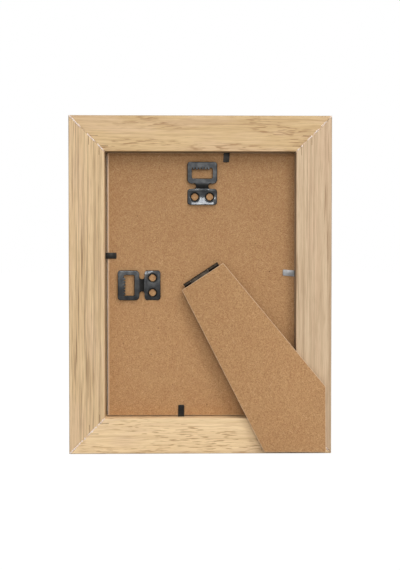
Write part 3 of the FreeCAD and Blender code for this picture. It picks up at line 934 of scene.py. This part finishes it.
    def rail_recipe(self, material: bpy.types.Material, length_mm: float, seed: int) -> Recipe:
        """The tree that sweeps the profile into a rail: x along it, y in from its outer edge, z to the back.

        Args:
            material: the rail's finish.
            length_mm: its length along the outer edge.
            seed: picks its chips.

        Returns:
            The tree.
        """
        recipe = Recipe("mitred_rail", {
            "Length": length_mm * MM, "Sections": self.sections, "Chip Depth": self.chip_depth_mm * MM,
            "Gap": self.gap_mm * MM, "Seed": seed,
        })
        line = recipe.wire("GeometryNodeCurvePrimitiveLine", {"Start": (-1, 0, 0), "End": (1, 0, 0)})
        line = recipe.wire("GeometryNodeResampleCurve", {"Curve": line, "Count": recipe.given("Sections")})
        outline = recipe.wire("GeometryNodeMeshToCurve", {"Mesh": recipe.given("Geometry")})
        rail = recipe.wire("GeometryNodeCurveToMesh",
                           {"Curve": line, "Profile Curve": outline, "Fill Caps": True})
        inset, depth = recipe.carried("inset"), recipe.carried("depth")
        share, _, _ = recipe.split(recipe.wire("GeometryNodeInputPosition"))
        # Sections lie closer together towards the mitres.
        spread = share * (1.0 + self.crowding - share * share * self.crowding)
        reach = recipe.given("Length") * 0.5 - inset
        from_mitre = (1.0 - abs(spread)) * reach
        pattern = recipe.given("Seed") * 3.7 + share * 0.5
        chip, gap = self.wear(recipe, inset, depth, from_mitre, pattern)
        along = spread * reach - recipe.maths("SIGN", spread) * gap
        place = recipe.join(along, inset, depth - chip * recipe.given("Chip Depth"))
        rail = recipe.wire("GeometryNodeStoreNamedAttribute",
                           {"Geometry": rail, "Name": "chip", "Value": chip},
                           data_type="FLOAT", domain="POINT")
        rail = recipe.wire("GeometryNodeSetPosition", {"Geometry": rail, "Position": place})
        cut = recipe.node("GeometryNodeMeshBoolean", {0: rail, 1: self.nail_slots(recipe)},
                          operation="DIFFERENCE")
        recipe.finish(Wire(recipe, cut.outputs["Mesh"]), material)
        return recipe

    def wear(self, recipe: Recipe, inset: Wire, depth: Wire, from_mitre: Wire,
             seed: Wire) -> tuple[Wire, Wire]:
        """The damage at a rail's ends: chipped back edges, and mitres that gape near the outer corner.

        Args:
            recipe: the rail's tree.
            inset: how far in from the outer edge a point is.
            depth: how far back it is.
            from_mitre: how far from the mitre it is.
            seed: picks the pattern.

        Returns:
            Wires for the chips, 0 to 1, and for the gap, in metres.
        """
        ragged = recipe.noise(recipe.join(inset * 420, from_mitre * 700, 0.0), 1.0, seed, 2.0)
        broad = recipe.noise(recipe.join(inset * 130, 0.0, 0.0), 1.0, seed + 5.0, 1.0)
        chip = (recipe.smooth(ragged * 0.6 + broad * 0.4, 0.47, 0.60)
                * recipe.step_mm(from_mitre, *self.chip_reach_mm)
                * recipe.step_mm(depth, *(self.depth_mm - skin for skin in self.chip_skin_mm)))
        open_end = (recipe.step_mm(inset, *self.gap_end_mm) * recipe.step_mm(inset, *self.gap_start_mm)
                    * recipe.smooth(ragged, 0.35, 0.55))
        gap = (recipe.given("Gap") * open_end
               * recipe.step_mm(depth, *(self.depth_mm - skin for skin in self.gap_skin_mm))
               * recipe.step_mm(from_mitre, *self.gap_reach_mm))
        return chip, gap

    def nail_slots(self, recipe: Recipe) -> Wire:
        """The blocks that cut the nails' slots out of a rail's ends.

        Args:
            recipe: the rail's tree.

        Returns:
            The blocks as one mesh.
        """
        size = mm(self.nail_leg_mm + self.slot_play_mm, self.slot_mm,
                  2 * (self.nail_height_mm + self.nail_sink_mm))
        blocks = recipe.node("GeometryNodeJoinGeometry")
        for inset in self.nail_insets_mm:
            for end in (-1, 1):
                from_end = (inset + (self.nail_leg_mm - self.slot_play_mm) / 2) * MM * end
                middle = recipe.given("Length") * (0.5 * end) - from_end
                block = recipe.wire("GeometryNodeMeshCube", {"Size": size})
                block = recipe.wire("GeometryNodeTransform", {
                    "Geometry": block, "Translation": recipe.join(middle, inset * MM, self.depth_mm * MM)})
                recipe.feed(blocks.inputs[0], block)
        return Wire(recipe, blocks.outputs[0])

    def mitre_lines(self, low: Vector, high: Vector) -> bpy.types.Mesh:
        """The four mitres as lines on the frame's back.

        Args:
            low: the frame's lowest corner.
            high: its highest corner.

        Returns:
            A mesh of four edges.
        """
        margin, wall = self.mitre_margin_mm * MM, self.rebate_inset_mm * MM
        face = -self.depth_mm / 2 * MM + self.crumb_mm * 0.25 * MM
        points = []
        for x, inward_x in ((low.x, 1), (high.x, -1)):
            for z, inward_z in ((low.z, 1), (high.z, -1)):
                for inset in (margin, wall - margin):
                    points.append((x + inset * inward_x, face, z + inset * inward_z))
        mesh = bpy.data.meshes.new("mitre_lines")
        mesh.from_pydata(points, [(0, 1), (2, 3), (4, 5), (6, 7)], [])
        return mesh

    def press_filler(self, low: Vector, high: Vector) -> None:
        """Presses crumbs of filler into the mitres.

        Args:
            low: the frame's lowest corner.
            high: its highest corner.
        """
        recipe = Recipe("filler_crumbs", {
            "Count": self.crumbs, "Size": self.crumb_mm * MM, "Spread": self.crumb_spread_mm * MM, "Seed": 4,
        })
        line = recipe.wire("GeometryNodeMeshToCurve", {"Mesh": recipe.given("Geometry")})
        line = recipe.wire("GeometryNodeResampleCurve", {"Curve": line, "Count": recipe.given("Count")})
        dots = recipe.wire("GeometryNodeCurveToPoints", {"Curve": line}, mode="EVALUATED")
        where = recipe.wire("GeometryNodeInputPosition")
        bare = recipe.smooth(recipe.noise(where, 260.0, 12.0, 2.0), 0.48, 0.46)
        dots = recipe.wire("GeometryNodeDeleteGeometry", {"Geometry": dots, "Selection": bare},
                           domain="POINT")
        jitter = recipe.random((-1.0, -0.25, -1.0), (1.0, 0.25, 1.0))
        dots = recipe.wire("GeometryNodeSetPosition",
                           {"Geometry": dots, "Offset": jitter * recipe.given("Spread")})
        dots = recipe.wire("GeometryNodeInstanceOnPoints", {
            "Points": dots,
            "Instance": recipe.wire("GeometryNodeMeshIcoSphere", {"Radius": 1.0, "Subdivisions": 2}),
            "Rotation": recipe.random((0.0, 0.0, 0.0), (6.28, 6.28, 6.28)),
            "Scale": recipe.random((0.4, 0.3, 0.3), (2.2, 0.6, 1.3)) * recipe.given("Size")})
        dots = recipe.wire("GeometryNodeRealizeInstances", {"Geometry": dots})
        lump = (recipe.noise(where, 2600.0, 3.0, 2.0) - 0.5) * (self.crumb_lump_mm * MM)
        dots = recipe.wire("GeometryNodeSetPosition",
                           {"Geometry": dots, "Offset": recipe.wire("GeometryNodeInputNormal") * lump})
        recipe.finish(dots, Filler().make())
        crumbs = recipe.run("mitre_filler", self.mitre_lines(low, high), Matrix.Identity(4))
        smooth_by_angle(crumbs, 180)
        settle(new_piece("mitre_filler", crumbs), "frame")

    def dress_nails(self) -> None:
        """Gives the V-nails their steel."""
        steel = Steel("nail_steel_plain", paint(138, 110, 78), paint(164, 138, 104), 0.5, 31.0).make()
        for name, node in frame["nodes"].items():
            if name.startswith("corner_nails"):
                dress(node, steel)


# The hangers


@dataclass
class Hanger:
    """A stamped hanger: plate with two drawn holes, joggled neck and raised ring with saw teeth.

    Its own x runs across, y up to the ring and z out of the board, from the middle between its holes.
    Its third field is how dark its left side is painted, as a painted dark reflection.
    """

    name: str
    angle: float
    side_shade: float
    half_width_mm: float = 10.15
    plate_half_mm: float = 5.4
    plate_corner_mm: float = 2.0
    plate_margin_mm: float = 0.6
    steel_mm: float = 0.9
    edge_round_mm: float = 0.42
    ring_low_mm: float = 8.9
    ring_high_mm: float = 23.6
    ring_corner_mm: float = 1.8
    shoulder_mm: float = 2.8
    neck_half_mm: float = 4.18
    neck_corner_mm: float = 1.7
    joggle_mm: Pair = (5.2, 8.0)
    raise_mm: float = 1.3
    window_half_mm: float = 7.05
    window_corner_mm: float = 0.8
    tooth_corner_mm: float = 0.1
    sill_mm: float = 12.4
    head_mm: float = 19.3
    tooth_pitch_mm: float = 2.0
    tooth_mm: float = 0.9
    tooth_tip_half_mm: float = 0.62
    tooth_foot_half_mm: float = 0.86
    notch_mm: float = 0.35
    tooth_count: int = 6
    saw_shift_mm: float = -0.7
    saw_ease_share: float = 0.3
    hole_middle_mm: float = 5.05
    hole_flat_mm: float = 4.35
    hole_corner_mm: float = 1.2
    roll_mm: float = 0.7
    collar_mm: float = 1.9
    collar_wall_mm: float = 0.45
    collar_point_mm: float = 0.3
    dish_mm: float = 0.24
    dish_from_mm: float = 2.4
    dish_reach_mm: float = 1.9
    rock: float = 0.13
    rock_at_mm: float = 0.5
    rock_round_mm: float = 0.8
    rock_limit_mm: float = 4.0
    ridge_mm: float = 0.15
    ridge_at_mm: float = 4.6
    ridge_half_mm: float = 4.6
    ridge_width_mm: float = 0.45
    wing_bend: float = 0.20
    wing_from_mm: float = 6.9
    wing_round_mm: float = 0.4
    ring_droop_mm: float = 0.30
    ring_droop_from_mm: float = 6.6
    ring_droop_reach_mm: float = 3.5
    # Where painted shade and painted dark reflections fall on the steel.
    edge_shade_mm: float = 0.06
    neck_shade_mm: tuple[Pair, Pair] = ((5.5, 5.8), (9.4, 8.6))
    fold_shade_mm: tuple[Pair, Pair] = ((1.8, 3.8), (4.4, 4.0))
    hole_shade_mm: Pair = (3.45, 3.10)
    side_shade_mm: Pair = (5.0, -4.0)
    grid_mm: float = 0.6
    neck_grid_mm: float = 0.25
    neck_grid_from_mm: float = 4.0
    saw_grid_mm: float = 0.15
    saw_grid_reach_mm: float = 1.05

    def build(self, node: str, finish: bpy.types.Material) -> None:
        """Builds the hanger in place of its node.

        Args:
            node: the node that it stands for.
            finish: its steel.
        """
        sheet = self.blank()
        cuts = [(0, step * self.grid_mm) for step in range(-17, 18)]
        cuts += [(1, step * self.grid_mm) for step in range(-10, 11)]
        cuts += [(1, self.neck_grid_from_mm + self.neck_grid_mm * step) for step in range(22)]
        cuts += [(1, self.head_mm - self.saw_grid_reach_mm + self.saw_grid_mm * step) for step in range(9)]
        for axis, offset in cuts:
            divide(sheet, axis, offset, 0.0001)
        bmesh.ops.triangulate(sheet, faces=[face for face in sheet.faces if len(face.verts) > 4])
        mesh = Pressing(self, sheet).mesh()
        place = Matrix.Translation(self.origin(node)) @ Matrix.Rotation(math.radians(90), 4, "X")
        mesh.transform(place @ Matrix.Rotation(math.radians(self.angle), 4, "Z") @ Matrix.Scale(MM, 4))
        face_outwards(mesh)
        smooth_by_angle(mesh, 50)
        piece = new_piece(self.name, mesh)
        dress(piece, finish)
        settle(piece, "frame", [node])

    def origin(self, node: str) -> Vector:
        """Where the middle between the holes is.

        Args:
            node: the node that the hanger stands for.

        Returns:
            The place, on the backboard.
        """
        low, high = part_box(node)
        board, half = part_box("backboard")[0].y, self.plate_half_mm * MM
        if self.angle:
            return Vector((high.x - half, board, (low.z + high.z) / 2))
        return Vector(((low.x + high.x) / 2, board, low.z + half))

    def outline(self) -> list[Pair]:
        """The outer outline of plate, neck and ring.

        Returns:
            Its points.
        """
        side, neck = self.half_width_mm, self.neck_half_mm
        low, high, top = self.plate_half_mm, self.ring_low_mm, self.ring_high_mm
        corner, inner = self.plate_corner_mm, self.neck_corner_mm
        half = [(side, low, corner), (neck, low, inner), (neck, high, inner), (side, high, self.shoulder_mm),
                (side, top, self.ring_corner_mm)]
        mirrored = [(-x, y, radius) for x, y, radius in reversed(half)]
        return rounded_loop([(-side, -low, corner), (side, -low, corner), *half, *mirrored], 7)

    def window(self) -> list[Pair]:
        """The window's outline with its teeth.

        Returns:
            Its points.
        """
        half, tip, foot = self.window_half_mm, self.tooth_tip_half_mm, self.tooth_foot_half_mm
        notch, tooth = self.head_mm + self.notch_mm, self.head_mm - self.tooth_mm
        corner, fine = self.window_corner_mm, self.tooth_corner_mm
        corners = [(-half, self.sill_mm, corner), (half, self.sill_mm, corner), (half, self.head_mm, corner)]
        start = self.saw_shift_mm + self.tooth_pitch_mm * self.tooth_count / 2
        for number in range(self.tooth_count):
            middle = start - self.tooth_pitch_mm * (number + 0.5)
            for reach, height in ((foot, notch), (tip, tooth), (-tip, tooth), (-foot, notch)):
                corners.append((middle + reach, height, fine))
        corners.append((-half, self.head_mm, fine))
        return rounded_loop(corners, 4)

    def hole(self, side: int, grow_mm: float) -> list[Pair]:
        """A hole's diamond outline, grown outwards.

        Args:
            side: 1 for the right hole and -1 for the left one.
            grow_mm: how far it is grown.

        Returns:
            Its points.
        """
        reach = (self.hole_flat_mm + 2 * grow_mm) / math.sqrt(2)
        middle, round_mm = self.hole_middle_mm * side, self.hole_corner_mm + grow_mm
        return rounded_loop([(middle + reach, 0.0, round_mm), (middle, reach, round_mm),
                             (middle - reach, 0.0, round_mm), (middle, -reach, round_mm)], 8)

    def blank(self) -> bmesh.types.BMesh:
        """The flat steel blank with its openings.

        Returns:
            The blank, in millimetres.
        """
        curve = bpy.data.curves.new(self.name, "CURVE")
        curve.dimensions = "2D"
        curve.fill_mode = "BOTH"
        holes = [self.hole(side, self.roll_mm) for side in (-1, 1)]
        for points in (self.outline(), self.window(), *holes):
            spline = curve.splines.new("POLY")
            spline.points.add(len(points) - 1)
            for target, (x, y) in zip(spline.points, points):
                target.co = (x, y, 0.0, 1.0)
            spline.use_cyclic_u = True
        holder = new_piece(self.name + "_blank", curve)
        mesh = bpy.data.meshes.new_from_object(holder.evaluated_get(bpy.context.evaluated_depsgraph_get()))
        bpy.data.objects.remove(holder)
        sheet = bmesh.new()
        sheet.from_mesh(mesh)
        bmesh.ops.remove_doubles(sheet, verts=sheet.verts, dist=0.0005)
        return sheet

    def lift(self, x: float, y: float) -> float:
        """How far the pressed sheet stands off at a place: joggle, dished holes and a rocked plate.

        Args:
            x: the place across, in millimetres.
            y: the place along, in millimetres.

        Returns:
            The height in millimetres.
        """
        share = ramp(y, *self.joggle_mm)
        height = self.raise_mm * share * share * (3 - 2 * share)
        droop = max(0.0, (abs(x) - self.ring_droop_from_mm) / self.ring_droop_reach_mm)
        height -= self.ring_droop_mm * share * droop ** 2
        if y < self.joggle_mm[0] + self.plate_margin_mm:
            for side in (-1, 1):
                away = math.hypot(x - self.hole_middle_mm * side, y) - self.dish_from_mm
                dish = max(0.0, 1.0 - max(0.0, away) / self.dish_reach_mm)
                height -= self.dish_mm * dish * dish
            rocked = math.hypot(min(y, self.rock_limit_mm) - self.rock_at_mm, self.rock_round_mm)
            height += self.rock * (rocked - self.rock_round_mm)
            ridge = ((y - self.ridge_at_mm) / self.ridge_width_mm) ** 2 + (x / self.ridge_half_mm) ** 6
            height += self.ridge_mm * math.exp(-ridge)
            wing = math.hypot(max(0.0, abs(x) - self.wing_from_mm), self.wing_round_mm)
            height -= self.wing_bend * (wing - self.wing_round_mm)
        return height

    def painted_shade(self, x: float, y: float, z: float) -> float:
        """How dark a point is painted, as painted shade and painted dark reflections: round the holes, down
        the edges, on the neck and the plate's upper part, and towards the darker side.

        Args:
            x: the place across, in millimetres.
            y: the place along.
            z: the place out of the board.

        Returns:
            The share, 0 to 1.
        """
        edge = ramp(self.steel_mm + self.lift(x, y) - z, 0.0, self.edge_shade_mm)
        neck = max(plateau(y, *self.neck_shade_mm), 0.5 * plateau(y, *self.fold_shade_mm))
        away = min(math.hypot(x - self.hole_middle_mm * side, y) for side in (-1, 1))
        return max(edge, 0.9 * neck, ramp(away, *self.hole_shade_mm), self.side_shade * ramp(x, *self.side_shade_mm))

    def beside_hole(self, place: Vector) -> bool:
        """Whether a point of the blank's edge belongs to a hole.

        Args:
            place: the point.

        Returns:
            Whether it does.
        """
        reach = (self.hole_flat_mm / 2 + self.roll_mm) * math.sqrt(2) + 0.1
        away = min(abs(place.x - self.hole_middle_mm * side) for side in (-1, 1)) + abs(place.y)
        return abs(place.y) < 4.6 and away < reach

    def towards_hole(self, place: Vector, shift: float) -> Pair:
        """A point of a hole's outer loop, moved towards the hole's middle.

        Args:
            place: the point.
            shift: how far the diamond's sides move in.

        Returns:
            The new place.
        """
        middle = Vector((math.copysign(self.hole_middle_mm, place.x), 0.0))
        arm = Vector((place.x, place.y)) - middle
        flat = (abs(arm.x) + abs(arm.y)) / math.sqrt(2)
        scale = (flat - shift) / flat
        return middle.x + arm.x * scale, middle.y + arm.y * scale


class Pressing:
    """A hanger's mesh under way, in millimetres: the points and faces that are pressed from its blank."""

    def __init__(self, hanger: Hanger, sheet: bmesh.types.BMesh) -> None:
        """Finds the blank's edges, and which way is inward at each of their points.

        Args:
            hanger: the hanger's sizes.
            sheet: its divided blank.
        """
        self.hanger = hanger
        self.sheet = sheet
        self.points: list[Triple] = []
        self.faces: list[tuple[int, ...]] = []
        self.rims = [edge for edge in sheet.edges if edge.is_boundary]
        self.inward: dict[bmesh.types.BMVert, Vector] = {}
        for edge in self.rims:
            towards = edge.link_faces[0].calc_center_median() - edge.verts[0].co
            direction = (edge.verts[1].co - edge.verts[0].co).normalized()
            normal = (towards - direction * towards.dot(direction)).normalized()
            for vert in edge.verts:
                self.inward[vert] = self.inward.get(vert, Vector()) + normal
        self.holes = dict.fromkeys(vert for vert in self.inward if hanger.beside_hole(vert.co))

    def add(self, x: float, y: float, height: float) -> int:
        """Adds a point at a height over the formed sheet's underside and returns its number."""
        self.points.append((x, y, height + self.hanger.lift(x, y)))
        return len(self.points) - 1

    def add_moved(self, vert: bmesh.types.BMVert, shift: float, height: float) -> int:
        """Adds a point of the blank, moved in from the blank's edge if it is on it.

        Args:
            vert: the blank's point.
            shift: how far it is moved; the fine points of the saw move less.
            height: its height over the underside.

        Returns:
            The new point's number.
        """
        if vert not in self.inward:
            return self.add(vert.co.x, vert.co.y, height)
        hanger = self.hanger
        at_saw = abs(vert.co.x) < hanger.window_half_mm - 0.1 and abs(vert.co.y - hanger.head_mm) < 1.0
        step = self.inward[vert].normalized() * shift * (hanger.saw_ease_share if at_saw else 1.0)
        return self.add(vert.co.x + step.x, vert.co.y + step.y, height)

    def add_walls(self, layers: Sequence[Layer], at_holes: bool) -> None:
        """Joins layers of points along the blank's edges.

        Args:
            layers: the layers from the top down.
            at_holes: whether this is along the holes' edges or along all the others.
        """
        for edge in self.rims:
            start, end = edge.verts
            if (start in self.holes) == at_holes:
                for upper, lower in zip(layers, layers[1:]):
                    self.faces.append((upper[start], upper[end], lower[end], lower[start]))

    def collar_layers(self) -> list[Layer]:
        """Rolls each hole's edge over and draws it down into the board.

        Returns:
            The layers of points, from the top down.
        """
        hanger = self.hanger
        roll, wall = hanger.roll_mm, hanger.collar_wall_mm
        reach, point = hanger.collar_mm, hanger.collar_point_mm
        turns = [math.radians(90 * step / 6) for step in range(1, 7)]
        stations = [(roll * math.sin(turn), hanger.steel_mm - roll * (1 - math.cos(turn))) for turn in turns]
        stations += [(roll, point - reach), (roll - wall / 2, -reach), (roll - wall, point - reach)]
        stations += [(roll - wall, -0.1)]
        return [{vert: self.add(*hanger.towards_hole(vert.co, shift), height) for vert in self.holes}
                for shift, height in stations]

    def mesh(self) -> bpy.types.Mesh:
        """Gives the flat blank its form, thickness, eased edges and drawn collars.

        Returns:
            The mesh, in millimetres.
        """
        ease, steel = self.hanger.edge_round_mm, self.hanger.steel_mm
        outer = dict.fromkeys(vert for vert in self.inward if vert not in self.holes)
        turns = [(math.sin(turn), math.cos(turn)) for turn in map(math.radians, (0, 30, 60, 90))]
        # Down round the eased edge, straight down, and round again to the underside.
        stations = [(ease * (1 - s), steel - ease * (1 - c)) for s, c in turns[1:]]
        stations += [(ease * (1 - s), ease * (1 - c)) for s, c in reversed(turns)]
        top = {vert: self.add_moved(vert, ease if vert in outer else 0.0, steel) for vert in self.sheet.verts}
        layers = [top]
        for shift, height in stations:
            layers.append({vert: self.add_moved(vert, shift, height) for vert in outer})
        bottom = layers[-1]
        for vert in self.sheet.verts:
            if vert not in bottom:
                bottom[vert] = self.add_moved(vert, 0.0, 0.0)
        for face in self.sheet.faces:
            self.faces.append(tuple(top[vert] for vert in face.verts))
            self.faces.append(tuple(bottom[vert] for vert in reversed(face.verts)))
        self.add_walls(layers, at_holes=False)
        self.add_walls([top, *self.collar_layers(), bottom], at_holes=True)
        mesh = bpy.data.meshes.new(self.hanger.name)
        mesh.from_pydata(self.points, [], self.faces)
        # Each point carries its share of painted shade and painted dark reflections.
        painted_shade = mesh.attributes.new("painted_shade", "FLOAT", "POINT")
        painted_shade.data.foreach_set("value", [self.hanger.painted_shade(*point) for point in self.points])
        mesh.validate()
        return mesh


# What lies in the rebate, the strut and the tabs


@dataclass
class Backing:
    """What lies in the rebate: the glass, the photo paper and the backboard."""

    easing_mm: float = 0.22
    pressed_edge_mm: float = 0.95
    pressed_depth_mm: float = 0.08

    def build(self) -> None:
        """Builds the board, with a pressed strip along its left edge that takes the pale edge colour partly
        as painted light, and dresses the sheets.
        """
        dress(frame["nodes"]["front_glass"], Glazing().make())
        dress(frame["nodes"]["photo_insert"], PhotoPaper().make())
        low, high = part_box("backboard")
        size, strip = high - low, low.x + self.pressed_edge_mm * MM
        shape = bmesh.new()
        bmesh.ops.create_cube(shape, size=1.0)
        for vert in shape.verts:
            vert.co = Vector(((vert.co[i] + 0.5) * size[i] + low[i]) for i in range(3))
        divide(shape, 0, strip, MM * 0.001)
        for vert in shape.verts:
            if vert.co.x < strip - MM * 0.1 and vert.co.y < low.y + MM:
                vert.co.y += self.pressed_depth_mm * MM
        sharp = is_sharp(50)
        ease_edges(shape, [edge for edge in shape.edges if sharp(edge)], self.easing_mm, 2)
        # The sawn sides and the pressed strip are marked for the pale edge colour, partly painted light.
        mark_cut_edges(shape, lambda face: float(
            abs(face.normal.y) <= 0.99 or face.calc_center_median().x < strip))
        mesh = bpy.data.meshes.new("board")
        shape.to_mesh(mesh)
        shape.free()
        smooth_by_angle(mesh, 30)
        board = new_piece("board", mesh)
        # The board is painted lighter towards the bottom and darker towards the top, as painted light and
        # shade.
        dress(board, Fibreboard("fibreboard_back", paint(183, 141, 99), 5.0, (1.09, 0.85)).make())
        settle(board, "frame", ["backboard"])


@dataclass
class Easel:
    """The strut with its hinge."""

    easing_mm: float = 0.22
    pin_easing_mm: float = 0.12

    def build(self) -> None:
        """Builds the strut, with its outer edges eased, and its hinge."""
        outward = self.strut_normal()
        sharp = is_sharp(50)
        strut = refined_copy(
            "strut", "easel_strut", self.easing_mm,
            lambda edge: sharp(edge) and any(face.normal.dot(outward) > 0.99 for face in edge.link_faces),
            # the sawn sides are marked for the pale edge colour, partly painted light
            lambda face: float(abs(face.normal.dot(outward)) <= 0.99))
        # The strut is painted lighter towards the bottom and darker towards the top, as painted light and
        # shade.
        dress(strut, Fibreboard("fibreboard_strut", paint(180, 139, 97), 55.0, (1.05, 0.86)).make())
        settle(strut, "strut", ["strut"])
        black = Steel("hinge_steel_black", (0.030, 0.023, 0.017), (0.066, 0.052, 0.038), 0.34, 71.0).make()
        for leaf, body in (("fixed_leaf", "frame"), ("moving_leaf", "strut")):
            plate = refined_copy("hinge_" + leaf, leaf + "_plate", 0.0, is_sharp(60))
            dress(plate, black)
            settle(plate, body, ["hinge_" + leaf])
        pin = refined_copy("hinge_pin", "hinge_rod", self.pin_easing_mm, is_sharp(60))
        dress(pin, Steel("pin_steel_plain", paint(120, 116, 112), paint(170, 166, 160), 0.3, 73.0).make())
        settle(pin, "frame", ["hinge_pin"])

    def strut_normal(self) -> Vector:
        """The way the strut's outer face looks."""
        faces = frame["nodes"]["strut"].data.polygons
        return max(faces, key=lambda face: face.area * (face.normal.y < 0)).normal.copy()


@dataclass
class Tabs:
    """The four bent strips that hold the backboard."""

    easing_mm: float = 0.1

    def build(self) -> None:
        """Builds the strips' tongues and dresses their blades; the right strip's paler steel is a painted
        highlight.
        """
        black = Steel("tab_steel_black", (0.018, 0.016, 0.014), (0.045, 0.042, 0.038), 0.34, 81.0).make()
        # The right strip's paler steel is a painted highlight for the light that its tilt catches.
        tab_highlight_steel = Steel("tab_steel_painted_highlight", (0.20, 0.20, 0.20), (0.34, 0.34, 0.34), 0.42, 83.0).make()
        for side in ("bottom", "left", "top", "right"):
            finish, slot = (tab_highlight_steel, "bright_tab_steel") if side == "right" else (black, "black_tab_steel")
            node = f"tab_{side}_tongue"
            tongue = refined_copy(node, f"tab_{side}_strip", self.easing_mm, is_sharp(60))
            dress(tongue, finish)
            settle(tongue, "tab_" + side, [node])
            dress(frame["nodes"][f"tab_{side}_blade"], finish)


# The studio


@dataclass(frozen=True)
class Lamp:
    """A soft lamp that looks at the frame's middle.

    ``share`` is how much of full white it gives to a surface that faces it. Lengths are in metres.
    """

    name: str
    direction: Triple
    distance: float
    size: Pair
    share: float
    middle: Triple = (0.0, 0.0, 0.114)

    def hang(self) -> None:
        """Puts the lamp into the scene."""
        light = bpy.data.lights.new(self.name, "AREA")
        light.shape = "RECTANGLE"
        light.size, light.size_y = self.size
        light.energy = self.share * (math.pi * self.distance) ** 2
        towards = Vector(self.direction).normalized()
        lamp = new_piece(self.name, light)
        lamp.location = Vector(self.middle) + towards * self.distance
        lamp.rotation_euler = towards.to_track_quat("Z", "Y").to_euler()


@dataclass
class Studio:
    """The floor, the white surround, the lamps and the camera."""

    ambient: float = 0.51
    floor_reach: float = 12.0
    floor_glow: float = 1.045
    floor_glow_share: float = 0.94
    camera_at_mm: Triple = (-12.1, -658.6, 128.4)
    look_at_mm: Triple = (-0.36, -9.0, 114.05)
    lens_mm: float = 60.98
    lamps: tuple[Lamp, ...] = (
        Lamp("key", (0.407, -0.627, 0.664), 2.0, (0.5, 0.8), 0.27),
        Lamp("ceiling", (0.0, -0.42, 0.91), 2.4, (2.2, 0.9), 0.22),
        Lamp("front", (0.0, -0.99, 0.12), 2.5, (2.0, 1.4), 0.09),
        Lamp("far_side", (-0.35, 0.85, 0.40), 2.4, (1.6, 1.2), 0.50),
        Lamp("strip", (0.07, -0.94, 0.342), 2.2, (1.1, 0.12), 0.15),
    )

    def build(self) -> None:
        """Sets the studio up."""
        self.make_world()
        self.make_floor()
        for lamp in self.lamps:
            lamp.hang()
        self.make_camera()

    def seen(self, bench: Bench) -> Wire:
        """Tells what is looked at from the light that falls on things.

        Args:
            bench: where the nodes go.

        Returns:
            1 for what the camera, a reflection or the glass sees, and 0 for the rest.
        """
        path = bench.node("ShaderNodeLightPath")
        camera, glossy, through = (Wire(bench, path.outputs[f"Is {kind} Ray"]) for kind in
                                   ("Camera", "Glossy", "Transmission"))
        return bench.maths("MAXIMUM", bench.maths("MAXIMUM", camera, glossy), through)

    def make_world(self) -> None:
        """The white surround, which lights things more softly than it looks."""
        world = bpy.data.worlds.new("surround")
        world.use_nodes = True
        bpy.context.scene.world = world
        world.node_tree.nodes.clear()
        bench = Bench(world.node_tree)
        strength = self.seen(bench) * (1 - self.ambient) + self.ambient
        light = bench.wire("ShaderNodeBackground", {"Color": (1.0, 1.0, 1.0), "Strength": strength})
        bench.node("ShaderNodeOutputWorld", {"Surface": light})

    def make_floor(self) -> None:
        """The pale floor, white to the eye apart from a faint shadow."""
        mesh = bpy.data.meshes.new("studio_floor")
        reach = self.floor_reach
        corners = [(-reach, -reach, 0), (reach, -reach, 0), (reach, reach, 0), (-reach, reach, 0)]
        mesh.from_pydata(corners, [], [(0, 1, 2, 3)])
        floor = new_piece("studio_floor", mesh)
        finish = Finish("floor_white")
        bench = finish.bench
        grain = bench.noise(finish.place(), 40.0, 1.0)
        finish.set(Base_Color=finish.mix(grain, (0.60, 0.60, 0.60), (0.63, 0.63, 0.63)), Roughness=0.9)
        glow = bench.wire("ShaderNodeEmission", {"Color": (1.0, 1.0, 1.0), "Strength": self.floor_glow})
        share = self.seen(bench) * self.floor_glow_share
        mixed = bench.wire("ShaderNodeMixShader", {0: share, 1: finish.shader, 2: glow})
        bench.feed(finish.output.inputs["Surface"], mixed)
        dress(floor, finish.material)

    def make_camera(self) -> None:
        """The camera at the photograph's place."""
        lens = bpy.data.cameras.new("camera")
        lens.lens = self.lens_mm
        lens.clip_start, lens.clip_end = 0.01, 50.0
        camera = new_piece("camera", lens)
        camera.location = mm(*self.camera_at_mm)
        gaze = Vector(mm(*self.look_at_mm)) - camera.location
        camera.rotation_euler = gaze.to_track_quat("-Z", "Y").to_euler()
        bpy.context.scene.camera = camera
        bpy.context.scene.view_settings.view_transform = "Standard"


def main() -> None:
    """Builds the frame's pieces in order and then the studio."""
    Moulding().build()
    Backing().build()
    steel = Steel("hanger_steel_black", (0.046, 0.048, 0.051), (0.098, 0.099, 0.098), 0.12, 91.0, 0.06).make()
    Hanger("hanger_upright", 0.0, 0.0).build("top_hanger", steel)
    # 0.5: its left side is painted darker, a painted dark reflection.
    Hanger("hanger_sideways", 90.0, 0.5).build("side_hanger", steel)
    Easel().build()
    Tabs().build()
    Studio().build()


if __name__ == "__main__":
    logging.basicConfig(level=logging.INFO, format="%(name)s: %(message)s")
    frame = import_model()
    main()
